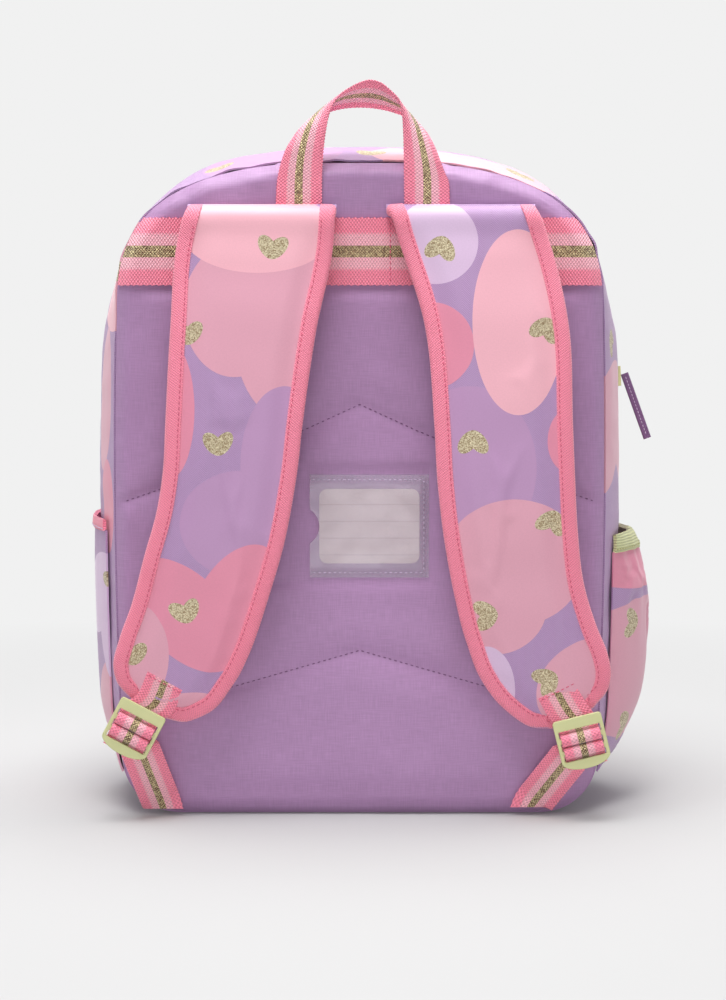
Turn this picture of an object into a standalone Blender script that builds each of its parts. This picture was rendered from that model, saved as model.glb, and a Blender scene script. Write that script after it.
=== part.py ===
"""School backpack, built from the pieces it is sewn from.

Metres, +Z up. The wearer's side faces -Y, the outer front faces +Y, +X is the wearer's right-hand
side seen from behind. The origin is the centre of the flat underside of the bottom panel.
"""
import math

import bmesh
import bpy
from mathutils import Vector

# Fabric and seams
FABRIC = 0.0012            # one layer of coated polyester with its backing
GAP = 0.0003               # clearance between neighbouring pieces
WEBBING = 0.0014           # thickness of the woven tapes
HALF_WEBBING = 0.0125      # half the width of the 25 mm webbing
LINING_GAP = 0.0012        # the lining hangs loose inside the curved gusset

# Main body, in the XZ plane of the back panel
BASE = FABRIC              # inner face of the bottom panel
BOTTOM_HALF = 0.115        # half of the straight bottom edge
CORNER = 0.035             # radius of the bottom corners
SIDE_LOW = 0.150           # half width just above the corners
SIDE_HIGH = 0.1525         # half width at the shoulders
SIDE_SWELL = 0.0027        # extra half width midway up
SHOULDER_Z = 0.317         # where the top arch starts
ARCH_RISE = 0.095
ARCH_POWER = 2.75          # squareness of the top arch
SPLIT_Z = 0.262            # lower ends of the main zip, where the lid folds
HALF_DEPTH = 0.0675        # half the depth of the gusset
GUSSET_BULGE = 0.014       # how far the gusset swells at mid depth
SHOULDER_DIP = 0.95        # share of that swell missing where the shoulders turn
DIP_Z = 0.362
DIP_SPREAD = 0.040

MIDDLE = Vector((0.0, 0.0, 0.2))

# Back and front panels
RIM = 0.0012               # height of a panel's edge over the gusset
ROLL_DEPTH = 0.0068        # height that a panel gains over its rolled edge
BACK_ROLL = 0.010
FRONT_ROLL = 0.020
BACK_FACE = -(HALF_DEPTH + RIM + ROLL_DEPTH)
FRONT_FACE = -BACK_FACE

# Webbing band across the back
BAND_LOW = 0.335
BAND_HIGH = 0.377

# Name window
WINDOW_X = (-0.0315, 0.0435)
WINDOW_Z = (0.1515, 0.2165)
WINDOW_RIM = 0.005
WINDOW_DEPTH = 0.0022
CARD_X = (-0.0255, 0.0375)
CARD_Z = (0.1605, 0.2075)

# Shoulder straps: half thickness of the stack, binding and hinge line
LAYER = 0.0007
HALF_STACK = 0.0029
BINDING_INNER = 0.0034
BINDING_OUTER = 0.0040
BINDING_WALL = 0.0008
BINDING_ARM = 0.0100
STRAP_HINGE = (-0.0822, 0.3812)
STRAP_TOP_Y = -0.0900
STRAP_TIP_Y = -0.0915
STRAP_BOW = 0.0130
STRAP_BEND = 0.0052        # radius of the fold at the top

# Outer and inner edge of each strap from top to tip, as (x, z) pairs
STRAP_EDGES = {
    "left": [((-0.112, 0.366), (-0.016, 0.364)), ((-0.117, 0.307), (-0.027, 0.306)),
             ((-0.120, 0.249), (-0.0355, 0.247)), ((-0.1215, 0.221), (-0.039, 0.217)),
             ((-0.1255, 0.196), (-0.0457, 0.180)), ((-0.1335, 0.168), (-0.0555, 0.145)),
             ((-0.142, 0.137), (-0.069, 0.1055)), ((-0.150, 0.115), (-0.080, 0.085)),
             ((-0.154, 0.098), (-0.0935, 0.069)), ((-0.152, 0.088), (-0.107, 0.063)),
             ((-0.142, 0.0765), (-0.120, 0.0645))],
    "right": [((0.116, 0.366), (0.0235, 0.3645)), ((0.129, 0.310), (0.040, 0.3105)),
              ((0.1315, 0.249), (0.046, 0.2485)), ((0.133, 0.2155), (0.048, 0.2135)),
              ((0.135, 0.182), (0.0525, 0.176)), ((0.139, 0.151), (0.059, 0.1415)),
              ((0.1475, 0.1235), (0.0665, 0.113)), ((0.1545, 0.1065), (0.0755, 0.090)),
              ((0.157, 0.093), (0.0885, 0.0725)), ((0.155, 0.0825), (0.104, 0.0605)),
              ((0.1465, 0.0715), (0.1205, 0.058))],
}
STRAP_TOP_X = {"left": (-0.107, -0.0145), "right": (0.109, 0.0165)}

# Ladder-lock buckles: centre of the frame, lean of its upright axis, foot of the lower webbing
BUCKLES = {
    "left": {"centre": (-0.1415, -0.1012, 0.0589), "lean": math.radians(28), "foot": (-0.1245, 0.0045)},
    "right": {"centre": (0.1385, -0.1012, 0.0516), "lean": math.radians(-14), "foot": (0.108, 0.0055)},
}
BUCKLE_HALF = 0.0155
BUCKLE_TOP = 0.016
BUCKLE_TAB = -0.017
BUCKLE_DEPTH = 0.0025
BAR_ONE = 0.003            # upright position of the bar that holds the strap's webbing
BUCKLE_SLOTS = ((0.0045, 0.009), (-0.0035, 0.0015), (-0.0105, -0.0065))

# Grab handle: front edge, middle line and rear edge of the webbing at each station, in millimetres.
# The legs lie flat on the back panel and each turns over once, softly, into the grip.
HANDLE_HINGE = (-0.0766, 0.3985)
HANDLE_LEGS = {"left": (-0.0525, -0.0235), "right": (0.0275, 0.0565)}
HANDLE_ENDS_LOW = 0.3775
HANDLE_STATIONS = [
    ((-23.3, -76.6, 399.1), (-38.0, -76.6, 399.3), (-51.7, -76.6, 399.5)),
    ((-22.9, -76.8, 410.0), (-37.2, -77.0, 411.0), (-49.2, -76.8, 411.0)),
    ((-22.0, -77.5, 421.0), (-35.0, -77.4, 422.6), (-45.5, -75.8, 420.5)),
    ((-20.8, -78.4, 430.5), (-31.6, -75.6, 433.0), (-40.2, -70.8, 428.6)),
    ((-19.0, -79.8, 440.0), (-26.4, -70.6, 441.6), (-33.0, -62.6, 435.6)),
    ((-16.5, -81.2, 446.8), (-20.6, -70.2, 447.0), (-25.8, -59.8, 440.4)),
    ((-11.9, -83.0, 452.4), (-14.6, -71.2, 450.2), (-18.0, -60.2, 443.6)),
    ((-6.5, -84.5, 456.4), (-8.2, -72.4, 452.2), (-9.6, -60.8, 445.4)),
    ((0.0, -85.5, 459.8), (0.0, -73.2, 453.2), (-0.4, -61.4, 446.0)),
    ((6.2, -86.0, 461.4), (7.0, -73.8, 453.0), (7.6, -61.8, 445.6)),
    ((12.5, -85.5, 460.0), (14.0, -73.4, 451.6), (15.4, -61.4, 444.4)),
    ((18.5, -84.5, 455.6), (20.5, -72.6, 448.8), (22.8, -61.0, 442.4)),
    ((23.0, -83.0, 451.0), (26.2, -71.4, 446.0), (30.2, -60.4, 439.6)),
    ((25.3, -81.2, 446.2), (30.0, -70.4, 442.8), (37.0, -61.0, 435.0)),
    ((26.3, -79.8, 440.0), (33.4, -71.4, 437.6), (42.4, -66.0, 429.0)),
    ((26.8, -78.2, 430.0), (36.8, -74.6, 428.8), (46.8, -72.6, 421.0)),
    ((27.0, -77.2, 420.0), (39.5, -76.5, 418.0), (50.3, -76.2, 412.0)),
    ((27.2, -76.8, 409.0), (41.4, -76.8, 408.0), (53.5, -76.6, 404.0)),
    ((27.4, -76.6, 399.1), (42.0, -76.6, 399.1), (55.6, -76.6, 399.1)),
]

# Main zip
ZIP_Y = 0.012
TAPE = 0.0101              # width of one zip tape
COIL = 0.0018              # width of the coil on the tape's edge
COIL_GAP = 0.0016
SLIDER_LENGTH = 0.013
SLIDER_Z = 0.2755
PULLER_LEAN = math.radians(20)
PULLER_LENGTH = 0.044
PULLER_WIDTH = 0.0048
PULLER_PIVOT = 0.0081      # height of a puller's pivot over the tape

# Front pocket
POCKET_HALF = 0.135
POCKET_Z = (0.014, 0.235)
POCKET_CORNERS = (0.030, 0.045)
POCKET_ZIP_END = 0.190
POCKET_STRIP = 0.010
POCKET_ROLL = 0.020
POCKET_SWELL = 0.006
POCKET_SLIDER_X = 0.085

# Side pockets: height of the mouth, height of its edging, how far the pocket swells and its mouth
SIDE_POCKETS = {
    "right": {"top": 0.1650, "edging": 0.0120, "swell": 0.0170, "mouth": 0.0035},
    "left": {"top": 0.1790, "edging": 0.0080, "swell": 0.0015, "mouth": 0.0010},
}
SIDE_POCKET_FOOT = 0.024
SIDE_POCKET_HALF = 0.056


def clear_scene():
    for item in list(bpy.data.objects):
        bpy.data.objects.remove(item, do_unlink=True)


def finish(name, colour, roughness, metallic=0.0):
    """A Principled BSDF material from an 8-bit display colour."""
    material = bpy.data.materials.new(name)
    material.use_nodes = True
    shader = material.node_tree.nodes["Principled BSDF"]
    linear = [((channel / 255 + 0.055) / 1.055) ** 2.4 for channel in colour]
    shader.inputs["Base Color"].default_value = (*linear, 1.0)
    shader.inputs["Roughness"].default_value = roughness
    shader.inputs["Metallic"].default_value = metallic
    return material


def pivot(name, location):
    """An empty on a joint's axis; the moving pieces are parented to it."""
    empty = bpy.data.objects.new(name, None)
    empty.location = location
    bpy.context.collection.objects.link(empty)
    return empty


def add_mesh(name, shape, material, parent=None):
    """Link a bmesh as one object, with its vertices relative to its parent's place."""
    if parent is not None:
        bmesh.ops.translate(shape, verts=shape.verts, vec=-parent.location)
    bmesh.ops.recalc_face_normals(shape, faces=shape.faces)
    mesh = bpy.data.meshes.new(name)
    shape.to_mesh(mesh)
    shape.free()
    mesh.materials.append(material)
    piece = bpy.data.objects.new(name, mesh)
    piece.parent = parent
    bpy.context.collection.objects.link(piece)
    return piece


def fold_outwards(shape, a, b, c, d):
    """Two triangles for a bent quad, so that layers over each other fold the same way."""
    if (a.co + c.co - 2 * MIDDLE).length > (b.co + d.co - 2 * MIDDLE).length:
        corners = ((a, b, c), (a, c, d))
    else:
        corners = ((a, b, d), (b, c, d))
    for triangle in corners:
        shape.faces.new(triangle)


def loft(name, sections, material, parent=None):
    """A closed solid through matching closed sections, capped at both ends."""
    shape = bmesh.new()
    rings = [[shape.verts.new(point) for point in section] for section in sections]
    for low, high in zip(rings, rings[1:]):
        for i in range(len(low)):
            j = (i + 1) % len(low)
            fold_outwards(shape, low[i], low[j], high[j], high[i])
    shape.faces.new(rings[0])
    shape.faces.new(list(reversed(rings[-1])))
    return add_mesh(name, shape, material, parent)


def box(name, low, high, material, parent=None):
    """A plain block between two corners."""
    ring = [(low[0], low[1]), (high[0], low[1]), (high[0], high[1]), (low[0], high[1])]
    sections = [[Vector((x, y, z)) for x, y in ring] for z in (low[2], high[2])]
    return loft(name, sections, material, parent)


def cut(piece, cutter):
    """Subtract a cutter from a piece and hide the cutter from the build."""
    cutter.hide_render = True
    cutter.display_type = "WIRE"
    boolean = piece.modifiers.new("cut", "BOOLEAN")
    boolean.object = cutter
    boolean.solver = "EXACT"


def smooth(t):
    t = min(1.0, max(0.0, t))
    return t * t * (3 - 2 * t)


# ---------------------------------------------------------------- outlines

def half_width(z):
    """Half width of the back panel at a height."""
    if z < BASE + CORNER:
        drop = BASE + CORNER - z
        return BOTTOM_HALF + math.sqrt(max(0.0, CORNER ** 2 - drop ** 2))
    if z < SHOULDER_Z:
        u = (z - BASE - CORNER) / (SHOULDER_Z - BASE - CORNER)
        return SIDE_LOW + (SIDE_HIGH - SIDE_LOW) * u + 4 * SIDE_SWELL * u * (1 - u)
    rise = min(1.0, (z - SHOULDER_Z) / ARCH_RISE)
    return SIDE_HIGH * (1 - rise ** ARCH_POWER) ** (1 / ARCH_POWER)


def body_outline():
    """Closed outline of the body, from bottom centre up the +X side and down the -X side."""
    half = [(x, BASE) for x in (0.0, 0.04, 0.08, BOTTOM_HALF)]
    for k in range(1, 5):
        angle = math.radians(-90 + 22.5 * k)
        half.append((BOTTOM_HALF + CORNER * math.cos(angle), BASE + CORNER * (1 + math.sin(angle))))
    low = BASE + CORNER
    heights = [low + (SPLIT_Z - low) * k / 5 for k in range(1, 6)]
    heights += [SPLIT_Z + (SHOULDER_Z - SPLIT_Z) * k / 2 for k in (1, 2)]
    half += [(half_width(z), z) for z in heights]
    for k in range(1, 11):
        angle = math.radians(9 * k)
        x = SIDE_HIGH * max(0.0, math.cos(angle)) ** (2 / ARCH_POWER)
        half.append((x, SHOULDER_Z + ARCH_RISE * math.sin(angle) ** (2 / ARCH_POWER)))
    return half + [(-x, z) for x, z in reversed(half[1:-1])]


CORNER_END = 7             # outline station at the top of a bottom corner
SPLIT = 12                 # outline station at SPLIT_Z
SEAM = 0.015               # part of a station left open at each seam


def rounded_outline(half, low, high, low_radius, high_radius):
    """Closed outline of a rounded panel, from bottom centre up the +X side."""
    points = [(0.0, low), (half - low_radius, low)]
    for k in range(1, 4):
        angle = math.radians(-90 + 30 * k)
        points.append((half - low_radius + low_radius * math.cos(angle),
                       low + low_radius * (1 + math.sin(angle))))
    points.append((half, POCKET_ZIP_END))
    for k in range(1, 5):
        angle = math.radians(22.5 * k)
        points.append((half - high_radius + high_radius * math.cos(angle),
                       high - high_radius * (1 - math.sin(angle))))
    points.append((0.0, high))
    return points + [(-x, z) for x, z in reversed(points[1:-1])]


class Outline:
    """A closed outline in the XZ plane, read at fractional stations."""

    def __init__(self, points):
        self.points = [Vector((x, 0.0, z)) for x, z in points]
        self.count = len(points)

    def normal(self, index):
        if self.points[index % self.count].z == self.points[0].z:
            return Vector((0.0, 0.0, -1.0))
        before = self.points[(index - 1) % self.count]
        after = self.points[(index + 1) % self.count]
        along = (after - before).normalized()
        return Vector((along.z, 0.0, -along.x))

    def at(self, station):
        """Point and outward normal at a station; the closing seam is at station 0."""
        index = math.floor(station)
        part = station - index
        a, b = index % self.count, (index + 1) % self.count
        point = self.points[a].lerp(self.points[b], part)
        normal = self.normal(a).lerp(self.normal(b), part).normalized()
        return point, normal

    def distance(self, x, z):
        """Distance from a point inside to the nearest edge."""
        best = 1.0
        here = Vector((x, 0.0, z))
        for i in range(self.count):
            a, b = self.points[i], self.points[(i + 1) % self.count]
            edge = b - a
            t = min(1.0, max(0.0, (here - a).dot(edge) / edge.length_squared))
            best = min(best, (here - a - edge * t).length)
        return best


BODY = Outline(body_outline())
POCKET = Outline(rounded_outline(POCKET_HALF, *POCKET_Z, *POCKET_CORNERS))


def stations(start, end):
    """Every whole station between two ends, and the ends themselves."""
    inner = [float(i) for i in range(math.ceil(start), math.floor(end) + 1)]
    return [start] + [s for s in inner if start < s < end] + [end]


def bulge(point, y):
    """Outward swell of the main gusset: none where the bag stands, little round the shoulders."""
    reach = smooth((point.z - BASE) / 0.07)
    reach *= 1 - SHOULDER_DIP * math.exp(-((point.z - DIP_Z) / DIP_SPREAD) ** 2)
    return GUSSET_BULGE * reach * (1 - (y / HALF_DEPTH) ** 2)


def gusset_section(station, depths, low, high):
    """Section of a main gusset strip: depths across it, low and high over the outline."""
    point, normal = BODY.at(station)
    outer = [point + normal * (bulge(point, y) + high) + Vector((0, y, 0)) for y in depths]
    inner = [point + normal * (bulge(point, y) + low) + Vector((0, y, 0)) for y in reversed(depths)]
    return outer + inner


def gusset(name, start, end, depths, material, low=0.0, high=FABRIC, parent=None):
    sections = [gusset_section(s, depths, low, high) for s in stations(start, end)]
    return loft(name, sections, material, parent)


def tape_profile(near, far):
    """Zip tape from its sewn edge to its coil, as (y, height) points."""
    inward = math.copysign(COIL, near - far)
    return [(near, 0.0), (far + inward, 0.0), (far + inward, -0.0006), (far, -0.0006),
            (far, COIL), (far + inward, COIL), (far + inward, FABRIC), (near, FABRIC)]


def swept(name, outline, start, end, profile, material, swell=None, parent=None):
    """A fixed (y, height) profile swept along an outline."""
    sections = []
    for station in stations(start, end):
        point, normal = outline.at(station)
        lift = swell(point) if swell else 0.0
        sections.append([point + normal * (lift + h) + Vector((0, y, 0)) for y, h in profile])
    return loft(name, sections, material, parent)


# ---------------------------------------------------------------- panels

def panel(name, heights, offsets, width, outer, inner, material, parent=None):
    """A panel lofted upwards: width(z) at each height, outer and inner faces as y(x, z)."""
    sections = []
    for z in heights:
        half = width(z)
        row = [-half + d for d in offsets] + [0.0] + [half - d for d in reversed(offsets)]
        front = [Vector((x, outer(x, z), z)) for x in row]
        back = [Vector((x, inner(x, z), z)) for x in reversed(row)]
        sections.append(front + back)
    return loft(name, sections, material, parent)


def rolled(outline, edge_y, depth, roll):
    """y(x, z) of a face that rises from its edge over a rolled border."""
    def height(x, z):
        share = min(1.0, outline.distance(x, z) / roll)
        return edge_y + depth * math.sin(share * math.pi / 2)
    return height


def inset_width(inset):
    """Half width at a height of the body outline moved inwards."""
    def width(z):
        low, high = 0.0, half_width(z)
        for _ in range(20):
            middle = (low + high) / 2
            low, high = (middle, high) if BODY.distance(middle, z) > inset else (low, middle)
        return low
    return width


def slab(name, inset, near, far, low, high, material, parent=None):
    """A flat layer inside the body outline, between two depths."""
    steps = 11
    heights = [low + (high - low) * math.sin(math.pi / 2 * k / steps) for k in range(steps + 1)]
    return panel(name, heights, (0.0,), inset_width(inset),
                 lambda x, z: near, lambda x, z: far, material, parent)


def back_panel(cloth, foam_pad, lining):
    outer = rolled(BODY, -(HALF_DEPTH + RIM), -ROLL_DEPTH, BACK_ROLL)
    heights = [BASE, 0.004, 0.011, 0.022, 0.036, 0.10, 0.17, 0.24, 0.30, BAND_LOW, 0.356, BAND_HIGH,
               0.390, 0.400, 0.4065, 0.4105]
    offsets = (0.0, 0.003, 0.010, 0.018, 0.032, 0.070)
    panel("back_panel_cover", heights, offsets, half_width, outer,
          lambda x, z: outer(x, z) + 0.001, cloth)
    slab("back_panel_foam", 0.018, BACK_FACE + 0.0014, BACK_FACE + 0.0073, 0.020, 0.393, foam_pad)
    slab("back_panel_lining", 0.006, -0.0677, -0.0667, 0.008, 0.402, lining)
    return outer, heights, offsets


def back_band(outer, heights, offsets, webbing):
    rows = [z for z in heights if BAND_LOW <= z <= BAND_HIGH]
    panel("back_band", rows, offsets, half_width,
          lambda x, z: outer(x, z) - 2 * GAP - FABRIC, lambda x, z: outer(x, z) - 2 * GAP, webbing)


def name_window(clear, paper):
    rear = BACK_FACE - GAP
    front = rear - WINDOW_DEPTH
    window = box("name_window", (WINDOW_X[0], front, WINDOW_Z[0]), (WINDOW_X[1], rear, WINDOW_Z[1]), clear)
    cavity = box("window_cavity", (WINDOW_X[0] - 0.01, front + 0.0006, WINDOW_Z[0] + WINDOW_RIM),
                 (WINDOW_X[1] - WINDOW_RIM, rear + 0.01, WINDOW_Z[1] - WINDOW_RIM), clear)
    notch_z = sum(WINDOW_Z) / 2
    ring = [(0.0125 * math.sin(math.radians(a)), notch_z + 0.0125 * math.cos(math.radians(a)))
            for a in range(0, 360, 30)]
    notch_x = WINDOW_X[0] - 0.0065
    notch = loft("window_notch", [[Vector((notch_x + x, y, z)) for x, z in ring]
                                  for y in (front - 0.01, rear + 0.01)], clear)
    cut(window, cavity)
    cut(window, notch)
    slide = pivot("name_card_pivot", Vector((CARD_X[0], BACK_FACE, notch_z)))
    box("name_card", (CARD_X[0], rear - 0.0011, CARD_Z[0]), (CARD_X[1], rear - GAP, CARD_Z[1]),
        paper, slide)


def front_panels(cloth, lining, lid):
    outer = rolled(BODY, HALF_DEPTH + RIM, ROLL_DEPTH, FRONT_ROLL)
    offsets = (0.0, 0.008, 0.020, 0.070)
    low_rows = [BASE, 0.008, 0.021, 0.036, 0.10, 0.17, SPLIT_Z - GAP]
    high_rows = [SPLIT_Z + GAP, 0.295, 0.330, 0.365, 0.385, 0.400, 0.4105]
    for name, rows, parent in (("front_panel_lower", low_rows, None),
                               ("front_panel_upper", high_rows, lid)):
        panel(name, rows, offsets, half_width, outer, lambda x, z: outer(x, z) - 0.001, cloth, parent)
    slab("lid_lining", 0.006, 0.0673, 0.0677, SPLIT_Z + 0.004, 0.400, lining, lid)


# ---------------------------------------------------------------- body

def body_shell(cloth, print_cloth, tape, lining, lid):
    rear, front = -HALF_DEPTH + GAP, HALF_DEPTH - GAP
    across = (rear, -0.045, -0.0225, 0.0, 0.0225, 0.045, front)
    left_split = BODY.count - SPLIT
    gusset("bottom_panel", -CORNER_END + SEAM, CORNER_END - SEAM, across, cloth)
    gusset("side_panel_right", CORNER_END + SEAM, SPLIT - SEAM, across, print_cloth)
    gusset("side_panel_left", left_split + SEAM, BODY.count - CORNER_END - SEAM, across, print_cloth)
    rear_edge = ZIP_Y - COIL_GAP / 2 - TAPE
    front_edge = ZIP_Y + COIL_GAP / 2 + TAPE
    top = (SPLIT + SEAM, left_split - SEAM)
    gusset("rear_gusset", *top, (rear, -0.045, -0.0225, rear_edge - GAP), print_cloth)
    gusset("front_gusset", *top, (front_edge + GAP, 0.045, front), print_cloth, parent=lid)
    for name, near, far, parent in (
            ("main_zip_tape_rear", rear_edge, ZIP_Y - COIL_GAP / 2, None),
            ("main_zip_tape_front", front_edge, ZIP_Y + COIL_GAP / 2, lid)):
        swept(name, BODY, *top, tape_profile(near, far), tape, lambda p: bulge(p, ZIP_Y), parent)
    inside = (-0.066, -0.045, -0.0225, 0.0, 0.0225, 0.045, 0.066)
    gusset("body_lining", left_split - BODY.count + SEAM, SPLIT - SEAM, inside, lining,
           -LINING_GAP - 0.001, -LINING_GAP)
    box("divider_sleeve", (-0.130, -0.0560, 0.0120), (0.130, -0.0545, 0.2500), lining)
    box("divider_elastic", (-0.130, -0.0565, 0.2503), (0.130, -0.0540, 0.2600), tape)


def slider_profile():
    """Slider plates over and under the coils, joined by a post that runs between them."""
    half, post, ridge = 0.0042, COIL_GAP / 2 - GAP, 0.0015
    right = [(ridge, 0.0052), (ridge, 0.0037), (half, 0.0037), (half, 0.0025), (post, 0.0025),
             (post, -0.0010), (half, -0.0010), (half, -0.0022)]
    return right + [(-y, h) for y, h in reversed(right)]


def slider(name, point, normal, along, metal, parent):
    profile = slider_profile()
    sections = [[point + along * s + normal * h + Vector((0, y, 0)) for y, h in profile]
                for s in (-SLIDER_LENGTH / 2, SLIDER_LENGTH / 2)]
    loft(name, sections, metal, parent)


def puller(name, start, direction, across, length, tape, parent):
    """A folded tape that hangs from its slider, flat in the plane of the swing."""
    sections = []
    for distance in (-0.0015, length):
        centre = start + direction * distance
        half = across * PULLER_WIDTH / 2
        depth = Vector((0, 0.001, 0))
        sections.append([centre - half - depth, centre + half - depth,
                         centre + half + depth, centre - half + depth])
    loft(name, sections, tape, parent)


def zip_point(z):
    """A point of the main zip's line on the +X side, over the swell of the gusset."""
    point = Vector((half_width(z), 0, z))
    return point + Vector((bulge(point, ZIP_Y), ZIP_Y, 0))


def main_slider(metal, tape):
    """The slider at the +X end of the main zip, set along the stretch that it can travel."""
    along = (zip_point(SLIDER_Z + 0.017) - zip_point(SLIDER_Z - 0.005)).normalized()
    normal = Vector((along.z, 0, -along.x))
    point = zip_point(SLIDER_Z)
    home = pivot("main_slider_pivot", point.copy())
    slider("main_slider", point, normal, along, metal, home)
    hinge = pivot("main_puller_pivot", point + normal * PULLER_PIVOT)
    hang = Vector((math.sin(PULLER_LEAN), 0, -math.cos(PULLER_LEAN)))
    across = Vector((math.cos(PULLER_LEAN), 0, math.sin(PULLER_LEAN)))
    puller("main_puller", hinge.location.copy(), hang, across, PULLER_LENGTH, tape, hinge)


# ---------------------------------------------------------------- front pocket

def front_pocket(cloth, tape, metal):
    rear = FRONT_FACE + GAP
    strip_end = rear + POCKET_STRIP
    zip_y = strip_end + GAP + TAPE + COIL_GAP / 2
    front = zip_y + COIL_GAP / 2 + TAPE
    zip_right, count = 5, POCKET.count
    sides = (-zip_right + SEAM, zip_right - SEAM)
    top = (zip_right + SEAM, count - zip_right - SEAM)
    flat = [(rear, 0.0), (front, 0.0), (front, FABRIC), (rear, FABRIC)]
    swept("pocket_gusset", POCKET, *sides, flat, cloth)
    strip = [(rear, 0.0), (strip_end, 0.0), (strip_end, FABRIC), (rear, FABRIC)]
    swept("pocket_rear_strip", POCKET, *top, strip, cloth)
    opening = pivot("pocket_front_pivot", Vector((0, front + GAP, POCKET_Z[0])))
    rear_tape = tape_profile(strip_end + GAP, zip_y - COIL_GAP / 2)
    front_tape = tape_profile(front, zip_y + COIL_GAP / 2)
    swept("pocket_zip_tape_rear", POCKET, *top, rear_tape, tape)
    swept("pocket_zip_tape_front", POCKET, *top, front_tape, tape, parent=opening)
    face = rolled(POCKET, front + GAP + 0.001, POCKET_SWELL, POCKET_ROLL)
    heights = [0.014, 0.018, 0.030, 0.044, 0.09, 0.14, 0.190, 0.207, 0.222, 0.231, 0.235]
    panel("pocket_front", heights, (0.0, 0.006, 0.020, 0.060), pocket_half_width, face,
          lambda x, z: face(x, z) - 0.001, cloth, opening)
    point = Vector((POCKET_SLIDER_X, zip_y, POCKET_Z[1]))
    home = pivot("pocket_slider_pivot", point.copy())
    up, along = Vector((0, 0, 1)), Vector((1, 0, 0))
    slider("pocket_slider", point, up, along, metal, home)
    hinge = pivot("pocket_puller_pivot", point + up * PULLER_PIVOT)
    puller("pocket_puller", hinge.location.copy(), along, up * 0.5, 0.036, tape, hinge)


def pocket_half_width(z):
    low, high = POCKET_Z
    low_radius, high_radius = POCKET_CORNERS
    if z < low + low_radius:
        drop = low + low_radius - z
        return POCKET_HALF - low_radius + math.sqrt(max(0.0, low_radius ** 2 - drop ** 2))
    if z > high - high_radius:
        rise = z - high + high_radius
        return POCKET_HALF - high_radius + math.sqrt(max(0.0, high_radius ** 2 - rise ** 2))
    return POCKET_HALF


# ---------------------------------------------------------------- side pockets

def pocket_reach(spec, z):
    """How far a side pocket stands off the side panel at a height."""
    share = (z - SIDE_POCKET_FOOT) / (spec["top"] + spec["edging"] - SIDE_POCKET_FOOT)
    hump = max(0.0, math.sin(math.pi * min(1.0, max(0.0, share)) ** 0.9)) ** 0.6
    return spec["swell"] * hump + spec["mouth"] * smooth(share)


def side_pocket_section(side, spec, z, wall):
    """Section of a side pocket's wall at a height."""
    sign = 1 if side == "right" else -1
    point = Vector((half_width(z), 0, z))
    steps = 8
    depths = [-SIDE_POCKET_HALF + 2 * SIDE_POCKET_HALF * k / steps for k in range(steps + 1)]
    reach = pocket_reach(spec, z)

    def place(y, extra):
        crown = reach * (1 - (y / SIDE_POCKET_HALF) ** 2) ** 0.8
        base = point.x + bulge(point, y) + FABRIC + 4 * GAP
        return Vector((sign * (base + crown + extra), y, z))

    outer = [place(y, wall) for y in depths]
    inner = [place(y, 0.0) for y in reversed(depths)]
    return outer + inner


def side_pocket(side, cloth, elastic):
    spec = SIDE_POCKETS[side]
    steps = 9
    rise = spec["top"] - SIDE_POCKET_FOOT
    heights = [SIDE_POCKET_FOOT + rise * k / steps for k in range(steps + 1)]
    loft(f"side_pocket_{side}", [side_pocket_section(side, spec, z, FABRIC) for z in heights], cloth)
    low = spec["top"] + GAP
    heights = [low, low + spec["edging"] - GAP]
    loft(f"side_pocket_edging_{side}",
         [side_pocket_section(side, spec, z, 2 * FABRIC) for z in heights], elastic)


# ---------------------------------------------------------------- ribbons

def ribbon(name, centres, widths, material, parent=None, square=True):
    """A flat woven tape through the centres; square turns each width to a right angle."""
    sections = []
    last = len(centres) - 1
    for i, centre in enumerate(centres):
        along = (centres[min(i + 1, last)] - centres[max(i - 1, 0)]).normalized()
        width = widths[i] - along * along.dot(widths[i]) if square else widths[i]
        width = width.normalized()
        normal = along.cross(width).normalized()
        side, depth = width * HALF_WEBBING, normal * WEBBING / 2
        sections.append([centre - side - depth, centre + side - depth,
                         centre + side + depth, centre - side + depth])
    return loft(name, sections, material, parent)


def handle(webbing):
    rows = [[Vector(p) / 1000 for p in station] for station in HANDLE_STATIONS]
    last = len(rows) - 1
    sections = []
    for i, row in enumerate(rows):
        ahead, behind = rows[min(i + 1, last)], rows[max(i - 1, 0)]
        lifts = []
        for k in range(3):
            across = row[min(k + 1, 2)] - row[max(k - 1, 0)]
            lifts.append((ahead[k] - behind[k]).cross(across).normalized() * WEBBING / 2)
        sections.append([p + n for p, n in zip(row, lifts)]
                        + [p - n for p, n in reversed(list(zip(row, lifts)))])
    hinge_y, hinge_z = HANDLE_HINGE
    fold = pivot("grab_handle_pivot", Vector((0, hinge_y, hinge_z)))
    loft("grab_handle", sections, webbing, fold)
    for side, (low_x, high_x) in HANDLE_LEGS.items():
        box(f"handle_end_{side}", (low_x, hinge_y - WEBBING / 2, HANDLE_ENDS_LOW),
            (high_x, hinge_y + WEBBING / 2, hinge_z - WEBBING / 2 - GAP), webbing)


# ---------------------------------------------------------------- shoulder straps

def strap_depth(pair):
    """Depth of a strap's middle surface at a pair of edge points: it bows out between its ends."""
    top, tip = 0.365, 0.0705
    share = min(1.0, max(0.0, (top - (pair[0][1] + pair[1][1]) / 2) / (top - tip)))
    return STRAP_TOP_Y + (STRAP_TIP_Y - STRAP_TOP_Y) * share - STRAP_BOW * math.sin(math.pi * share)


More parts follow.
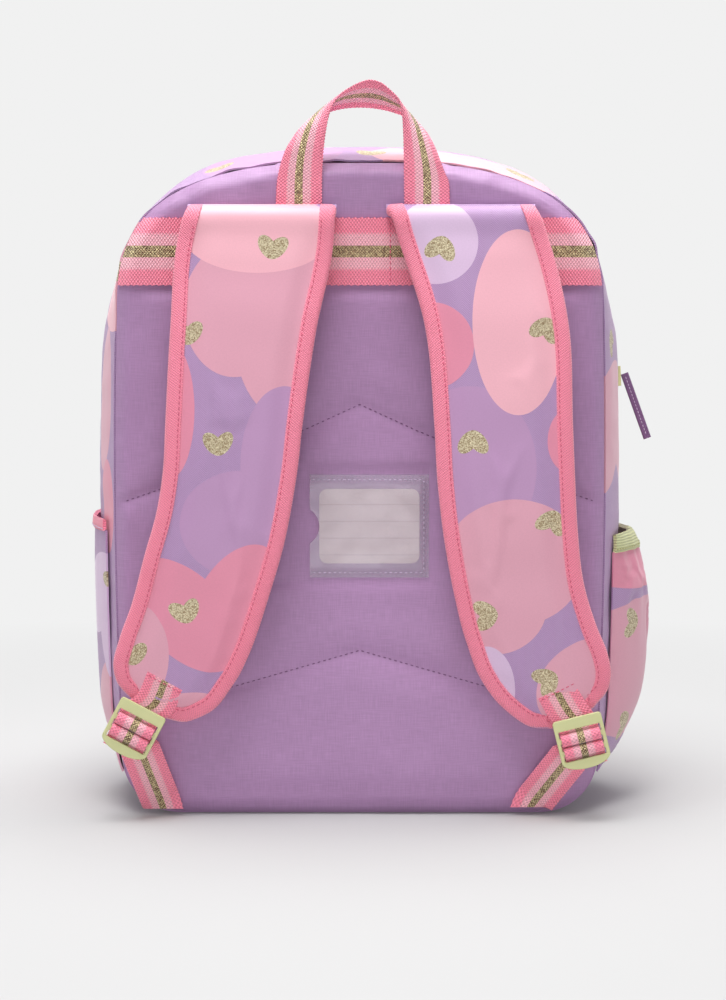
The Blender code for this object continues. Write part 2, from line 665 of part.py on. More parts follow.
def strap_stations(side):
    """Outer and inner edge points of a strap's middle surface, from the hinge to the tip."""
    pairs = STRAP_EDGES[side]
    top_x = STRAP_TOP_X[side]
    rows = [tuple(Vector((x, STRAP_TOP_Y + STRAP_BEND + 0.0006, STRAP_HINGE[1])) for x in top_x)]
    for degrees, spread in ((0, 0.0), (30, 0.1), (60, 0.3), (90, 0.5)):
        y = STRAP_TOP_Y + STRAP_BEND * (1 - math.sin(math.radians(degrees)))
        z = STRAP_HINGE[1] - STRAP_BEND * (1 - math.cos(math.radians(degrees)))
        rows.append(tuple(Vector((x + (edge[0] - x) * spread, y, z)) for x, edge in zip(top_x, pairs[0])))
    middles = [tuple(((a[0] + b[0]) / 2, (a[1] + b[1]) / 2) for a, b in zip(pair, following))
               for pair, following in zip(pairs[:4], pairs[1:5])]
    longer = [pair for both in zip(pairs, middles) for pair in both] + pairs[4:]
    return rows + [tuple(Vector((x, strap_depth(pair), z)) for x, z in pair) for pair in longer]


def strap_frames(rows):
    """For each edge point: the point, the direction into the strap and the outward normal."""
    count = len(rows)
    normals = []
    for i in range(count):
        ahead, behind = rows[min(i + 1, count - 1)], rows[max(i - 1, 0)]
        along = (ahead[0] + ahead[1] - behind[0] - behind[1]).normalized()
        across = (rows[i][1] - rows[i][0]).normalized()
        normal = along.cross(across).normalized()
        normals.append(normal)
    if normals[-1].y > 0:
        normals = [-n for n in normals]
    edge = [row[0] for row in rows] + [row[1] for row in reversed(rows)]
    normals = normals + list(reversed(normals))
    frames = []
    for i, point in enumerate(edge):
        along = (edge[min(i + 1, len(edge) - 1)] - edge[max(i - 1, 0)]).normalized()
        inward = normals[i].cross(along).normalized()
        partner = edge[len(edge) - 1 - i]
        if inward.dot(partner - point) < 0:
            inward = -inward
        frames.append((point, inward, normals[i]))
    return frames


def strap_layer(name, frames, inset, low, high, material, parent):
    count = len(frames) // 2
    sections = []
    for i in range(count):
        (a, into_a, up), (b, into_b, _) = frames[i], frames[-1 - i]
        row = [a + into_a * inset, a + into_a * BINDING_ARM, b + into_b * BINDING_ARM, b + into_b * inset]
        sections.append([point + up * low for point in row] + [point + up * high for point in reversed(row)])
    loft(name, sections, material, parent)


def strap_binding(name, frames, material, parent):
    profile = [(0.0, -BINDING_OUTER), (BINDING_ARM, -BINDING_OUTER), (BINDING_ARM, -BINDING_INNER),
               (BINDING_WALL, -BINDING_INNER), (BINDING_WALL, BINDING_INNER),
               (BINDING_ARM, BINDING_INNER), (BINDING_ARM, BINDING_OUTER), (0.0, BINDING_OUTER)]
    sections = [[point + inward * q + up * h for q, h in profile] for point, inward, up in frames]
    loft(name, sections, material, parent)


def buckle_axes(side):
    spec = BUCKLES[side]
    up = Vector((math.sin(spec["lean"]), 0, math.cos(spec["lean"])))
    across = Vector((math.cos(spec["lean"]), 0, -math.sin(spec["lean"])))
    return Vector(spec["centre"]), up, across, Vector((0, -1, 0))


def buckle(side, plastic, parent):
    """Ladder lock: a plate with a rounded tab and three slots that leave two bars."""
    centre, up, across, out = buckle_axes(side)
    tab = [(-BUCKLE_HALF, -0.011), (-0.0135, -0.0145), (-0.009, -0.0163), (0.0, BUCKLE_TAB),
           (0.009, -0.0163), (0.0135, -0.0145), (BUCKLE_HALF, -0.011)]
    outline = tab + [(BUCKLE_HALF, 0.0145), (0.014, BUCKLE_TOP), (-0.014, BUCKLE_TOP), (-BUCKLE_HALF, 0.0145)]
    sections = [[centre + across * v + up * u + out * w for v, u in outline]
                for w in (0.0, BUCKLE_DEPTH)]
    piece = loft(f"buckle_{side}", sections, plastic, parent)
    for k, (low, high) in enumerate(BUCKLE_SLOTS):
        ring = [(-0.0132, low), (0.0132, low), (0.0132, high), (-0.0132, high)]
        slot = loft(f"buckle_slot_{side}_{k}",
                    [[centre + across * v + up * u + out * w for v, u in ring]
                     for w in (-0.005, BUCKLE_DEPTH + 0.005)], plastic, parent)
        cut(piece, slot)


def buckle_webbing(side, tip, webbing, parent):
    """Webbing sewn to the strap's tip and folded round the buckle's first bar."""
    centre, up, across, out = buckle_axes(side)
    loop = [(0.012, -0.0040), (0.0088, -0.0029), (0.0068, -0.0012), (0.0062, 0.0010), (0.0055, 0.0030),
            (0.0030, 0.0043), (0.0005, 0.0030), (-0.0004, 0.0008), (0.0002, -0.0018),
            (0.0022, -0.0040), (0.0055, -0.0054), (0.0105, -0.0061)]
    points = [centre + up * u + out * w for u, w in loop]
    widths = [across] * len(points)
    (edge_point, edge_other), (upper_point, upper_other), outward = tip
    lift = outward * (BINDING_OUTER + GAP + WEBBING / 2)
    tip_middle = (edge_point + edge_other) / 2 + lift
    upper_middle = tip_middle + ((upper_point + upper_other) / 2 + lift - tip_middle).normalized() * 0.020
    tip_across = (edge_other - edge_point).normalized()
    if tip_across.dot(across) < 0:
        tip_across = -tip_across
    points = [upper_middle, tip_middle + (upper_middle - tip_middle) * 0.15] + points
    widths = [tip_across, tip_across.lerp(across, 0.3)] + widths
    ribbon(f"buckle_webbing_{side}", points, widths, webbing, parent, square=False)


def adjuster_webbing(side, webbing):
    """Webbing from the bottom seam, up behind the buckle, over its second bar, its end behind the tab."""
    centre, up, across, out = buckle_axes(side)
    foot_x, foot_z = BUCKLES[side]["foot"]
    foot = Vector((foot_x, -0.0778, foot_z))
    rise = Vector((centre.x - foot.x, 0, centre.z - foot.z)).normalized()
    flat = Vector((rise.z, 0, -rise.x))
    behind = [centre - rise * 0.014 - out * 0.0054, centre - rise * 0.007 - out * 0.0050]
    weave = [(-0.0028, -0.0030), (-0.0022, -0.0006), (-0.00215, 0.00125), (-0.0023, 0.0026),
             (-0.0036, 0.0036), (-0.0063, 0.0036), (-0.0076, 0.0029), (-0.0081, 0.0018),
             (-0.0086, 0.00035), (-0.0103, -0.00105), (-0.0125, -0.0014), (-0.0160, -0.0014)]
    threaded = [centre + up * u + out * w for u, w in weave]
    start = foot + rise * 0.006 - Vector((0, 0.0010, 0))
    run = [foot, start, start.lerp(behind[0], 0.35), start.lerp(behind[0], 0.7)]
    widths = [Vector((1, 0, 0)), flat, flat, flat, flat, flat.lerp(across, 0.5)]
    ribbon(f"adjuster_webbing_{side}", run + behind + threaded, widths + [across] * len(threaded),
           webbing, square=False)


def strap(side, finishes):
    rows = strap_stations(side)
    frames = strap_frames(rows)
    swing = pivot(f"strap_{side}_pivot", Vector((0, *STRAP_HINGE)))
    inset = BINDING_WALL + GAP
    layers = (("cover", HALF_STACK - LAYER, HALF_STACK, finishes["print"]),
              ("foam", -HALF_STACK + LAYER + 4 * GAP, HALF_STACK - LAYER - 4 * GAP, finishes["foam"]),
              ("mesh", -HALF_STACK, -HALF_STACK + LAYER, finishes["mesh"]))
    for name, low, high, material in layers:
        strap_layer(f"strap_{name}_{side}", frames, inset, low, high, material, swing)
    strap_binding(f"strap_binding_{side}", frames, finishes["binding"], swing)
    outer_x, inner_x = STRAP_TOP_X[side]
    hinge_y, hinge_z = STRAP_HINGE
    box(f"strap_anchor_{side}", (min(outer_x, inner_x), hinge_y + GAP, hinge_z - BINDING_OUTER + 0.0004),
        (max(outer_x, inner_x), HANDLE_HINGE[0] - WEBBING / 2 - GAP, hinge_z + BINDING_OUTER),
        finishes["print"])
    outward = frames[len(frames) // 2 - 1][2]
    buckle_webbing(side, (rows[-1], rows[-3], outward), finishes["webbing"], swing)
    centre, up, _, out = buckle_axes(side)
    tilt = pivot(f"buckle_{side}_pivot", centre + up * BAR_ONE + out * BUCKLE_DEPTH / 2)
    buckle(side, finishes["plastic"], tilt)
    adjuster_webbing(side, finishes["webbing"])


def main():
    clear_scene()
    cloth = finish("purple_cloth", (176, 142, 182), 0.65)
    printed = finish("printed_cloth", (230, 165, 190), 0.60)
    lining = finish("lining_cloth", (205, 190, 210), 0.70)
    tape = finish("zip_tape", (166, 138, 178), 0.60)
    webbing = finish("striped_webbing", (235, 145, 165), 0.70)
    metal = finish("slider_metal", (200, 175, 125), 0.35, 0.9)
    lime = finish("lime_elastic", (205, 205, 150), 0.60)
    finishes = {
        "print": printed,
        "foam": finish("strap_foam", (240, 235, 225), 0.90),
        "mesh": finish("spacer_mesh", (170, 140, 175), 0.85),
        "binding": finish("grosgrain_binding", (238, 140, 165), 0.65),
        "webbing": webbing,
        "plastic": finish("lime_plastic", (195, 195, 142), 0.45),
    }
    lid = pivot("lid_pivot", Vector((0, FRONT_FACE + GAP, SPLIT_Z)))
    surface, heights, offsets = back_panel(cloth, finish("panel_foam", (238, 232, 222), 0.9), lining)
    back_band(surface, heights, offsets, webbing)
    name_window(finish("clear_film", (225, 215, 225), 0.15), finish("name_card", (228, 215, 208), 0.8))
    front_panels(printed, lining, lid)
    body_shell(cloth, printed, tape, lining, lid)
    main_slider(metal, tape)
    front_pocket(printed, tape, metal)
    side_pocket("right", printed, lime)
    side_pocket("left", printed, webbing)
    handle(webbing)
    for side in ("left", "right"):
        strap(side, finishes)


main()
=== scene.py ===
"""School backpack: the fabric, stitching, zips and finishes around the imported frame.

Metres, +Z up. The wearer's side faces -Y, the outer front faces +Y. Every fabric piece is a grid of
points with its UVs in metres, so that weaves and prints keep their real scale.
"""
import math

import bpy
import numpy as np
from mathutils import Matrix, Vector, noise


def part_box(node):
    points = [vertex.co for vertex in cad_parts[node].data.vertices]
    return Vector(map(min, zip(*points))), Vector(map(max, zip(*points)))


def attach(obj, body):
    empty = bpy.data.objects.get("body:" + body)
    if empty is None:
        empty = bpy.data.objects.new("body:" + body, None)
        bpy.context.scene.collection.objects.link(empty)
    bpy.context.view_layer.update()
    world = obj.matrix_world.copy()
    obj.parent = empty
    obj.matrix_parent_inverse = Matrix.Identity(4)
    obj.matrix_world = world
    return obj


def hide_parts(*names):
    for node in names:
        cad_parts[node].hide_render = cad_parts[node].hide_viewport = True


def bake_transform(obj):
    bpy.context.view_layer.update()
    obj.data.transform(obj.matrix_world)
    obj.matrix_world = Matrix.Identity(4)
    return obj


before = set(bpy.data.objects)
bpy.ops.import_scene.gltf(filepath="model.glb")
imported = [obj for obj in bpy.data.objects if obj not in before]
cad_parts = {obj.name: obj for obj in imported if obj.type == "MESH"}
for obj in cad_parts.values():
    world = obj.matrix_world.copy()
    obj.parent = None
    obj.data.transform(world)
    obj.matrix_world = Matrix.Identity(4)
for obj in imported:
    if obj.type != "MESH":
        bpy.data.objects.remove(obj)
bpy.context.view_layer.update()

# Fabric
FABRIC = 0.0012
GAP = 0.0003
WEBBING = 0.0014
HALF_WEBBING = 0.0125
HALF_BAND = 0.021
PICK = 0.0020              # one pick of the webbing's weave, along it

# Outline of the body, as the frame has it
BASE = FABRIC
BOTTOM_HALF = 0.115
CORNER = 0.035
SIDE_LOW = 0.150
SIDE_HIGH = 0.1525
SIDE_SWELL = 0.0027
SHOULDER_Z = 0.317
ARCH_RISE = 0.095
ARCH_POWER = 2.75
PANEL_TOP = 0.4112
SPLIT_Z = 0.262
HALF_DEPTH = 0.0675
GUSSET_BULGE = 0.014
SHOULDER_DIP = 0.95
DIP_Z = 0.362
DIP_SPREAD = 0.040
RIM = 0.0012
ROLL_DEPTH = 0.0068
BACK_ROLL = 0.010
FRONT_ROLL = 0.020
MIDDLE = np.array((0.0, 0.0, 0.2))

# Main zip
ZIP_Y = 0.012
TAPE = 0.0101
COIL_GAP = 0.0016
TOOTH_PITCH = 0.0016
PULLER_LEAN = math.radians(20)

# Front pocket
POCKET_HALF = 0.135
POCKET_LOW = 0.014
POCKET_HIGH = 0.235
POCKET_CORNERS = (0.030, 0.045)
POCKET_ZIP_END = 0.190
POCKET_STRIP = 0.010
POCKET_SWELL = 0.006
POCKET_ROLL = 0.020
POCKET_MIDDLE = (0, 0.09, 0.12)

# Side pockets: top of the fabric, height of the edging, swell, gape of the mouth, folds
SIDE_POCKETS = {
    "right": {"top": 0.1650, "edging": 0.0120, "swell": 0.0170, "mouth": 0.0035, "folds": 0.0016},
    "left": {"top": 0.1790, "edging": 0.0080, "swell": 0.0020, "mouth": 0.0012, "folds": 0.0003},
}
SIDE_POCKET_FOOT = 0.024
SIDE_POCKET_HALF = 0.056

# Where the back panel lies flat: under the band, the handle's feet and the name window
BAND_Z = 0.356
FOOT_REACH = 0.080
FOOT_TOP = 0.408
WINDOW_PLACE = (-0.034, 0.184)
WINDOW_REACH = (0.084, 0.042)

# Stitched lines on the back panel, half of each as (x, z)
CHEVRONS = (
    ((0.0, 0.2605), (0.036, 0.2440), (0.126, 0.2070), (0.152, 0.1980)),
    ((0.0, 0.1050), (0.083, 0.0810), (0.150, 0.0600)),
)

# Shoulder straps
BINDING_ARM = 0.0100
STRAP_HINGE = (-0.0822, 0.3812)
STRAP_TOP_Y = -0.0900
STRAP_TIP_Y = -0.0915
STRAP_BOW = 0.0130
STRAP_BEND = 0.0052
STRAP_COVER = 0.0029       # face of the pad over its middle surface, at the binding
STRAP_CROWN = 0.0026       # extra height of the pad between its bindings
BINDING_FACE = 0.0040
STRAP_EDGES = {
    "left": [((-0.112, 0.366), (-0.016, 0.364)), ((-0.117, 0.307), (-0.027, 0.306)),
             ((-0.120, 0.249), (-0.0355, 0.247)), ((-0.1215, 0.221), (-0.039, 0.217)),
             ((-0.1255, 0.196), (-0.0457, 0.180)), ((-0.1335, 0.168), (-0.0555, 0.145)),
             ((-0.142, 0.137), (-0.069, 0.1055)), ((-0.150, 0.115), (-0.080, 0.085)),
             ((-0.154, 0.098), (-0.0935, 0.069)), ((-0.152, 0.088), (-0.107, 0.063)),
             ((-0.142, 0.0765), (-0.120, 0.0645))],
    "right": [((0.116, 0.366), (0.0235, 0.3645)), ((0.129, 0.310), (0.040, 0.3105)),
              ((0.1315, 0.249), (0.046, 0.2485)), ((0.133, 0.2155), (0.048, 0.2135)),
              ((0.135, 0.182), (0.0525, 0.176)), ((0.139, 0.151), (0.059, 0.1415)),
              ((0.1475, 0.1235), (0.0665, 0.113)), ((0.1545, 0.1065), (0.0755, 0.090)),
              ((0.157, 0.093), (0.0885, 0.0725)), ((0.155, 0.0825), (0.104, 0.0605)),
              ((0.1465, 0.0715), (0.1205, 0.058))],
}
STRAP_TOP_X = {"left": (-0.107, -0.0145), "right": (0.109, 0.0165)}

# Ladder-lock buckles: centre, lean of the upright axis, foot of the lower webbing
BUCKLES = {
    "left": {"centre": (-0.1415, -0.1012, 0.0589), "lean": math.radians(28), "foot": (-0.1245, 0.0045)},
    "right": {"centre": (0.1385, -0.1012, 0.0516), "lean": math.radians(-14), "foot": (0.108, 0.0055)},
}
BUCKLE_HALF = 0.0155
BUCKLE_TOP = 0.0160
BUCKLE_TAB = -0.0170
BUCKLE_DEPTH = 0.0025
BUCKLE_SLOTS = ((0.0045, 0.009), (-0.0035, 0.0015), (-0.0105, -0.0065))
SLOT_HALF = 0.0132

# Handle: front edge, middle line and rear edge of the webbing at each station, in millimetres
HALF_HANDLE = 0.0145
HANDLE_STATIONS = [
    ((-23.5, -76.6, 377.5), (-38.2, -76.6, 377.5), (-52.9, -76.6, 377.5)),
    ((-23.4, -76.6, 388.0), (-38.1, -76.6, 388.0), (-52.4, -76.6, 388.0)),
    ((-23.3, -76.6, 399.1), (-38.0, -76.6, 399.3), (-51.7, -76.6, 399.5)),
    ((-22.9, -76.8, 410.0), (-37.2, -77.0, 411.0), (-49.2, -76.8, 411.0)),
    ((-22.0, -77.5, 421.0), (-35.0, -77.4, 422.6), (-45.5, -75.8, 420.5)),
    ((-20.8, -78.4, 430.5), (-31.6, -75.6, 433.0), (-40.2, -70.8, 428.6)),
    ((-19.0, -79.8, 440.0), (-26.4, -70.6, 441.6), (-33.0, -62.6, 435.6)),
    ((-16.5, -81.2, 446.8), (-20.6, -70.2, 447.0), (-25.8, -59.8, 440.4)),
    ((-11.9, -83.0, 452.4), (-14.6, -71.2, 450.2), (-18.0, -60.2, 443.6)),
    ((-6.5, -84.5, 456.4), (-8.2, -72.4, 452.2), (-9.6, -60.8, 445.4)),
    ((0.0, -85.5, 459.8), (0.0, -73.2, 453.2), (-0.4, -61.4, 446.0)),
    ((6.2, -86.0, 461.4), (7.0, -73.8, 453.0), (7.6, -61.8, 445.6)),
    ((12.5, -85.5, 460.0), (14.0, -73.4, 451.6), (15.4, -61.4, 444.4)),
    ((18.5, -84.5, 455.6), (20.5, -72.6, 448.8), (22.8, -61.0, 442.4)),
    ((23.0, -83.0, 451.0), (26.2, -71.4, 446.0), (30.2, -60.4, 439.6)),
    ((25.3, -81.2, 446.2), (30.0, -70.4, 442.8), (37.0, -61.0, 435.0)),
    ((26.3, -79.8, 440.0), (33.4, -71.4, 437.6), (42.4, -66.0, 429.0)),
    ((26.8, -78.2, 430.0), (36.8, -74.6, 428.8), (46.8, -72.6, 421.0)),
    ((27.0, -77.2, 420.0), (39.5, -76.5, 418.0), (50.3, -76.2, 412.0)),
    ((27.2, -76.8, 409.0), (41.4, -76.8, 408.0), (53.5, -76.6, 404.0)),
    ((27.4, -76.6, 399.1), (42.0, -76.6, 399.1), (55.6, -76.6, 399.1)),
    ((27.5, -76.6, 388.0), (42.0, -76.6, 388.0), (56.2, -76.6, 388.0)),
    ((27.5, -76.6, 377.5), (42.0, -76.6, 377.5), (56.5, -76.6, 377.5)),
]

# Brightness of the backdrop, and of the floor under the bag: its own and what it reflects
BACKDROP = 0.879
FLOOR_GLOW = 0.04
FLOOR_PALE = 0.505

# Camera: place, angle below the horizon in degrees, focal length in millimetres
CAMERA_PLACE = (0.002, -1.70, 0.33)
CAMERA_DOWN = 4.56
CAMERA_LENS = 93.3

# Light: strength of the white world; name, place, size and power of the lamps;
# place, target, size, power and opening of the card that lights the bag from low in front
WORLD_LIGHT = 0.32
LAMP_TARGET = (0, 0, 0.2)
LAMPS = (("key", (-0.25, -0.65, 2.0), 1.0, 27), ("top", (0.1, 0.1, 1.9), 1.4, 31))
LOW_CARD_PLACE = (0, -1.6, 0.08)
LOW_CARD_TARGET = (0, 0, -0.12)
LOW_CARD_SIZE = 0.25
LOW_CARD_POWER = 25
LOW_CARD_SPREAD = math.radians(34)

# Colours, 8-bit display values
COLOURS = {
    "purple": (174, 134, 178), "twill": (182, 146, 190), "lilac": (196, 152, 196),
    "light_lilac": (226, 196, 228), "pink": (250, 186, 200), "dusty": (232, 168, 188),
    "rose": (236, 148, 174), "thread": (214, 84, 118), "purple_thread": (112, 66, 112),
    "pale_thread": (206, 186, 214), "webbing_edge": (252, 138, 164), "webbing_light": (248, 180, 194),
    # The two lurex colours are the painted shade and painted glints of a gold metallic thread
    "lurex_painted_shade": (98, 66, 48), "lurex_painted_glint": (226, 208, 160), "binding": (250, 138, 164),
    "lime": (206, 208, 152), "lime_thread": (170, 166, 100), "card": (236, 222, 212),
    "lining": (196, 180, 204), "foam": (240, 234, 222), "tape": (160, 126, 168),
    "puller": (128, 84, 134), "mesh": (176, 146, 184),
}


# ---------------------------------------------------------------- curves and grids

def smooth(t):
    t = np.clip(t, 0.0, 1.0)
    return t * t * (3 - 2 * t)


def spline(points, step):
    """A smooth curve through points of any width; their first three numbers are a place in metres."""
    points = np.asarray(points, float)
    spans = np.linalg.norm(np.diff(points[:, :3], axis=0), axis=1)
    marks = np.concatenate(([0.0], np.cumsum(spans)))
    slopes = np.gradient(points, marks, axis=0)
    t = np.linspace(0, marks[-1], max(2, int(round(marks[-1] / step)) + 1))
    i = np.clip(np.searchsorted(marks, t, side="right") - 1, 0, len(spans) - 1)
    h = spans[i][:, None]
    u = ((t - marks[i])[:, None]) / h
    a, b, da, db = points[i], points[i + 1], slopes[i] * h, slopes[i + 1] * h
    return (a * (2 * u ** 3 - 3 * u ** 2 + 1) + da * (u ** 3 - 2 * u ** 2 + u)
            + b * (3 * u ** 2 - 2 * u ** 3) + db * (u ** 3 - u ** 2))


def lengths(points):
    """Distance travelled at each of a row of points, from 0."""
    return np.concatenate(([0.0], np.cumsum(np.linalg.norm(np.diff(points, axis=0), axis=1))))


def nearest(flat, corners):
    """Distance from each of the flat points to the nearest part of a line through corners."""
    best = np.full(len(flat), 1.0)
    for a, b in zip(corners, corners[1:]):
        a, edge = np.array(a), np.array(b) - np.array(a)
        t = np.clip(((flat - a) @ edge) / (edge @ edge), 0, 1)
        best = np.minimum(best, np.linalg.norm(flat - a - t[:, None] * edge, axis=1))
    return best


def facing(count, y=-1.0):
    """The same direction along y, for a number of points."""
    return np.tile((0.0, y, 0.0), (count, 1))


def unit(v):
    return v / np.maximum(np.linalg.norm(v, axis=-1, keepdims=True), 1e-12)


def normals_of(grid, away_from):
    """Unit normals of a grid of points, pointing away from a place inside the object."""
    normal = unit(np.cross(np.gradient(grid, axis=0), np.gradient(grid, axis=1)))
    facing = np.sum(normal * (grid - np.asarray(away_from)), axis=-1).mean()
    return normal if facing > 0 else -normal


def ripple(grid, size, seed):
    """Soft noise from -1 to 1 at every point of a grid."""
    flat = (grid.reshape(-1, 3) / size + seed * 7.3)
    return np.array([noise.noise(Vector(p)) for p in flat]).reshape(grid.shape[:2])


def make_mesh(name, points, faces, uv, material):
    """An object from points, faces and one UV for each point."""
    mesh = bpy.data.meshes.new(name)
    mesh.from_pydata([tuple(p) for p in points], [], faces)
    layer = mesh.uv_layers.new(name="UVMap")
    corners = np.zeros(len(mesh.loops), np.int32)
    mesh.loops.foreach_get("vertex_index", corners)
    layer.data.foreach_set("uv", np.asarray(uv, np.float32)[corners].ravel())
    mesh.materials.append(material)
    mesh.shade_smooth()
    mesh.set_sharp_from_angle(angle=math.radians(55))
    piece = bpy.data.objects.new(name, mesh)
    bpy.context.collection.objects.link(piece)
    return piece


def grid_faces(rows, columns, start=0, flip=False, closed=False):
    faces = []
    last = columns if closed else columns - 1
    for i in range(rows - 1):
        for j in range(last):
            k = (j + 1) % columns
            face = (start + i * columns + j, start + i * columns + k,
                    start + (i + 1) * columns + k, start + (i + 1) * columns + j)
            faces.append(face[::-1] if flip else face)
    return faces


def cloth(name, grid, uv, material, thickness=FABRIC, away_from=MIDDLE):
    """A closed layer of fabric: the grid is its outer face, its inner face lies behind."""
    rows, columns = grid.shape[:2]
    normal = unit(np.cross(np.gradient(grid, axis=0), np.gradient(grid, axis=1)))
    flip = np.sum(normal * (grid - np.asarray(away_from)), axis=-1).mean() < 0
    outward = -normal if flip else normal
    points = np.concatenate([grid.reshape(-1, 3), (grid - outward * thickness).reshape(-1, 3)])
    count = rows * columns
    faces = grid_faces(rows, columns, 0, flip) + grid_faces(rows, columns, count, not flip)
    rim = ([j for j in range(columns)] + [i * columns + columns - 1 for i in range(1, rows)]
           + [(rows - 1) * columns + j for j in range(columns - 2, -1, -1)]
           + [i * columns for i in range(rows - 2, 0, -1)])
    for a, b in zip(rim, rim[1:] + rim[:1]):
        faces.append((a, b, b + count, a + count) if flip else (b, a, a + count, b + count))
    both = np.concatenate([uv.reshape(-1, 2)] * 2)
    return make_mesh(name, points, faces, both, material)


def upright(name, x, y, z, material, thickness):
    """A layer of fabric through x, y and z, with its UVs in the xz plane."""
    return cloth(name, np.stack([x, y, z], -1), np.stack([x, z], -1), material, thickness)


def tube(name, rings, uv, material):
    """A closed solid through matching rings of points, capped at both ends."""
    rows, columns = rings.shape[:2]
    faces = grid_faces(rows, columns, closed=True)
    faces.append(tuple(reversed(range(columns))))
    faces.append(tuple((rows - 1) * columns + j for j in range(columns)))
    piece = make_mesh(name, rings.reshape(-1, 3), faces, uv.reshape(-1, 2), material)
    face_out(piece)
    return piece


def face_out(piece):
    """Turns a closed mesh's faces outwards if its volume says that they face in."""
    mesh = piece.data
    mesh.calc_loop_triangles()
    corners = np.array([t.vertices for t in mesh.loop_triangles])
    points = np.array([v.co for v in mesh.vertices])
    a, b, c = (points[corners[:, k]] for k in range(3))
    if np.einsum("ij,ij->i", a, np.cross(b, c)).sum() < 0:
        mesh.flip_normals()


def copies(name, shape, faces, places, material):
    """One mesh of many small copies; places are (points, x axes, y axes, z axes) arrays."""
    points, x, y, z = (np.asarray(p, float) for p in places)
    shape = np.asarray(shape, float)
    all_points = (points[:, None] + shape[None, :, 0, None] * x[:, None]
                  + shape[None, :, 1, None] * y[:, None] + shape[None, :, 2, None] * z[:, None])
    all_faces = [tuple(k * len(shape) + v for v in face) for k in range(len(points)) for face in faces]
    flat = all_points.reshape(-1, 3)
    return make_mesh(name, flat, all_faces, flat[:, [0, 2]], material)


def capsule(length, radius, sides=6):
    """A small rounded thread along x, sunk at both ends, as (points, faces)."""
    rows = ((-0.5, 0.35, -1.3), (-0.42, 0.8, -0.5), (-0.2, 1.0, 0.0), (0.2, 1.0, 0.0),
            (0.42, 0.8, -0.5), (0.5, 0.35, -1.3))
    points = [(along * length, radius * size * math.cos(math.tau * k / sides),
               radius * (size * math.sin(math.tau * k / sides) + sink))
              for along, size, sink in rows for k in range(sides)]
    faces = grid_faces(len(rows), sides, closed=True)
    faces.append(tuple(reversed(range(sides))))
    faces.append(tuple((len(rows) - 1) * sides + k for k in range(sides)))
    return points, [face[::-1] for face in faces]


def stitches(name, path, outward, material, pitch=0.0034, length=0.0024, radius=0.00034):
    """A run of stitches along a path; outward has the surface normal at each point of it."""
    joined = np.concatenate([path, outward], axis=1)
    run = spline(joined, 0.0005)
    marks = lengths(run[:, :3])
    at = np.arange(pitch / 2, marks[-1], pitch)
    place = np.stack([np.interp(at, marks, run[:, k]) for k in range(6)], -1)
    ahead = np.stack([np.interp(at + 0.0008, marks, run[:, k]) for k in range(3)], -1)
    behind = np.stack([np.interp(at - 0.0008, marks, run[:, k]) for k in range(3)], -1)
    along = unit(ahead - behind)
    up = unit(place[:, 3:] - along * np.sum(place[:, 3:] * along, axis=1, keepdims=True))
    return copies(name, *capsule(length, radius), (place[:, :3], along, np.cross(up, along), up), material)


# ---------------------------------------------------------------- cloth simulation

def settle(grid, held, pressure, grow=0.01, cap=0.004, away_from=MIDDLE, frames=20):
    """The grid after a cloth simulation blows it outwards; held is 1 where it is sewn down.

    The padding behind keeps the cloth from moving inwards.
    """
    rows, columns = grid.shape[:2]
    inward = np.sum(np.cross(np.gradient(grid, axis=0), np.gradient(grid, axis=1))
                    * (grid - np.asarray(away_from)), axis=-1).mean() < 0
    mesh = bpy.data.meshes.new("draft")
    mesh.from_pydata([tuple(p) for p in grid.reshape(-1, 3)], [], grid_faces(rows, columns, flip=inward))
    draft = bpy.data.objects.new("draft", mesh)
    bpy.context.collection.objects.link(draft)
    group = draft.vertex_groups.new(name="held")
    for index, weight in enumerate(held.ravel()):
        group.add([index], float(weight), "REPLACE")
    settings = draft.modifiers.new("cloth", "CLOTH").settings
    settings.quality = 6
    settings.mass = 0.25
    settings.tension_stiffness = 12
    settings.compression_stiffness = 12
    settings.shear_stiffness = 6
    settings.bending_stiffness = 0.8
    settings.vertex_group_mass = "held"
    settings.shrink_min = -grow
    settings.use_pressure = True
    settings.uniform_pressure_force = pressure
    settings.effector_weights.gravity = 0.0
    for step in range(1, frames + 1):
        bpy.context.scene.frame_set(step)
    done = draft.evaluated_get(bpy.context.evaluated_depsgraph_get()).data
    moved = np.zeros(rows * columns * 3, np.float32)
    done.vertices.foreach_get("co", moved)
    moved = moved.reshape(grid.shape).astype(float) - grid
    bpy.data.objects.remove(draft)
    bpy.context.scene.frame_set(1)
    outward = normals_of(grid, away_from)
    moved -= outward * np.minimum(0.0, np.sum(moved * outward, axis=-1, keepdims=True))
    distance = np.linalg.norm(moved, axis=-1, keepdims=True)
    return grid + moved * np.minimum(1.0, cap / np.maximum(distance, 1e-9))


# ---------------------------------------------------------------- materials

def linear(colour):
    channels = [((c / 255 + 0.055) / 1.055) ** 2.4 for c in COLOURS[colour]]
    return (*channels, 1.0)


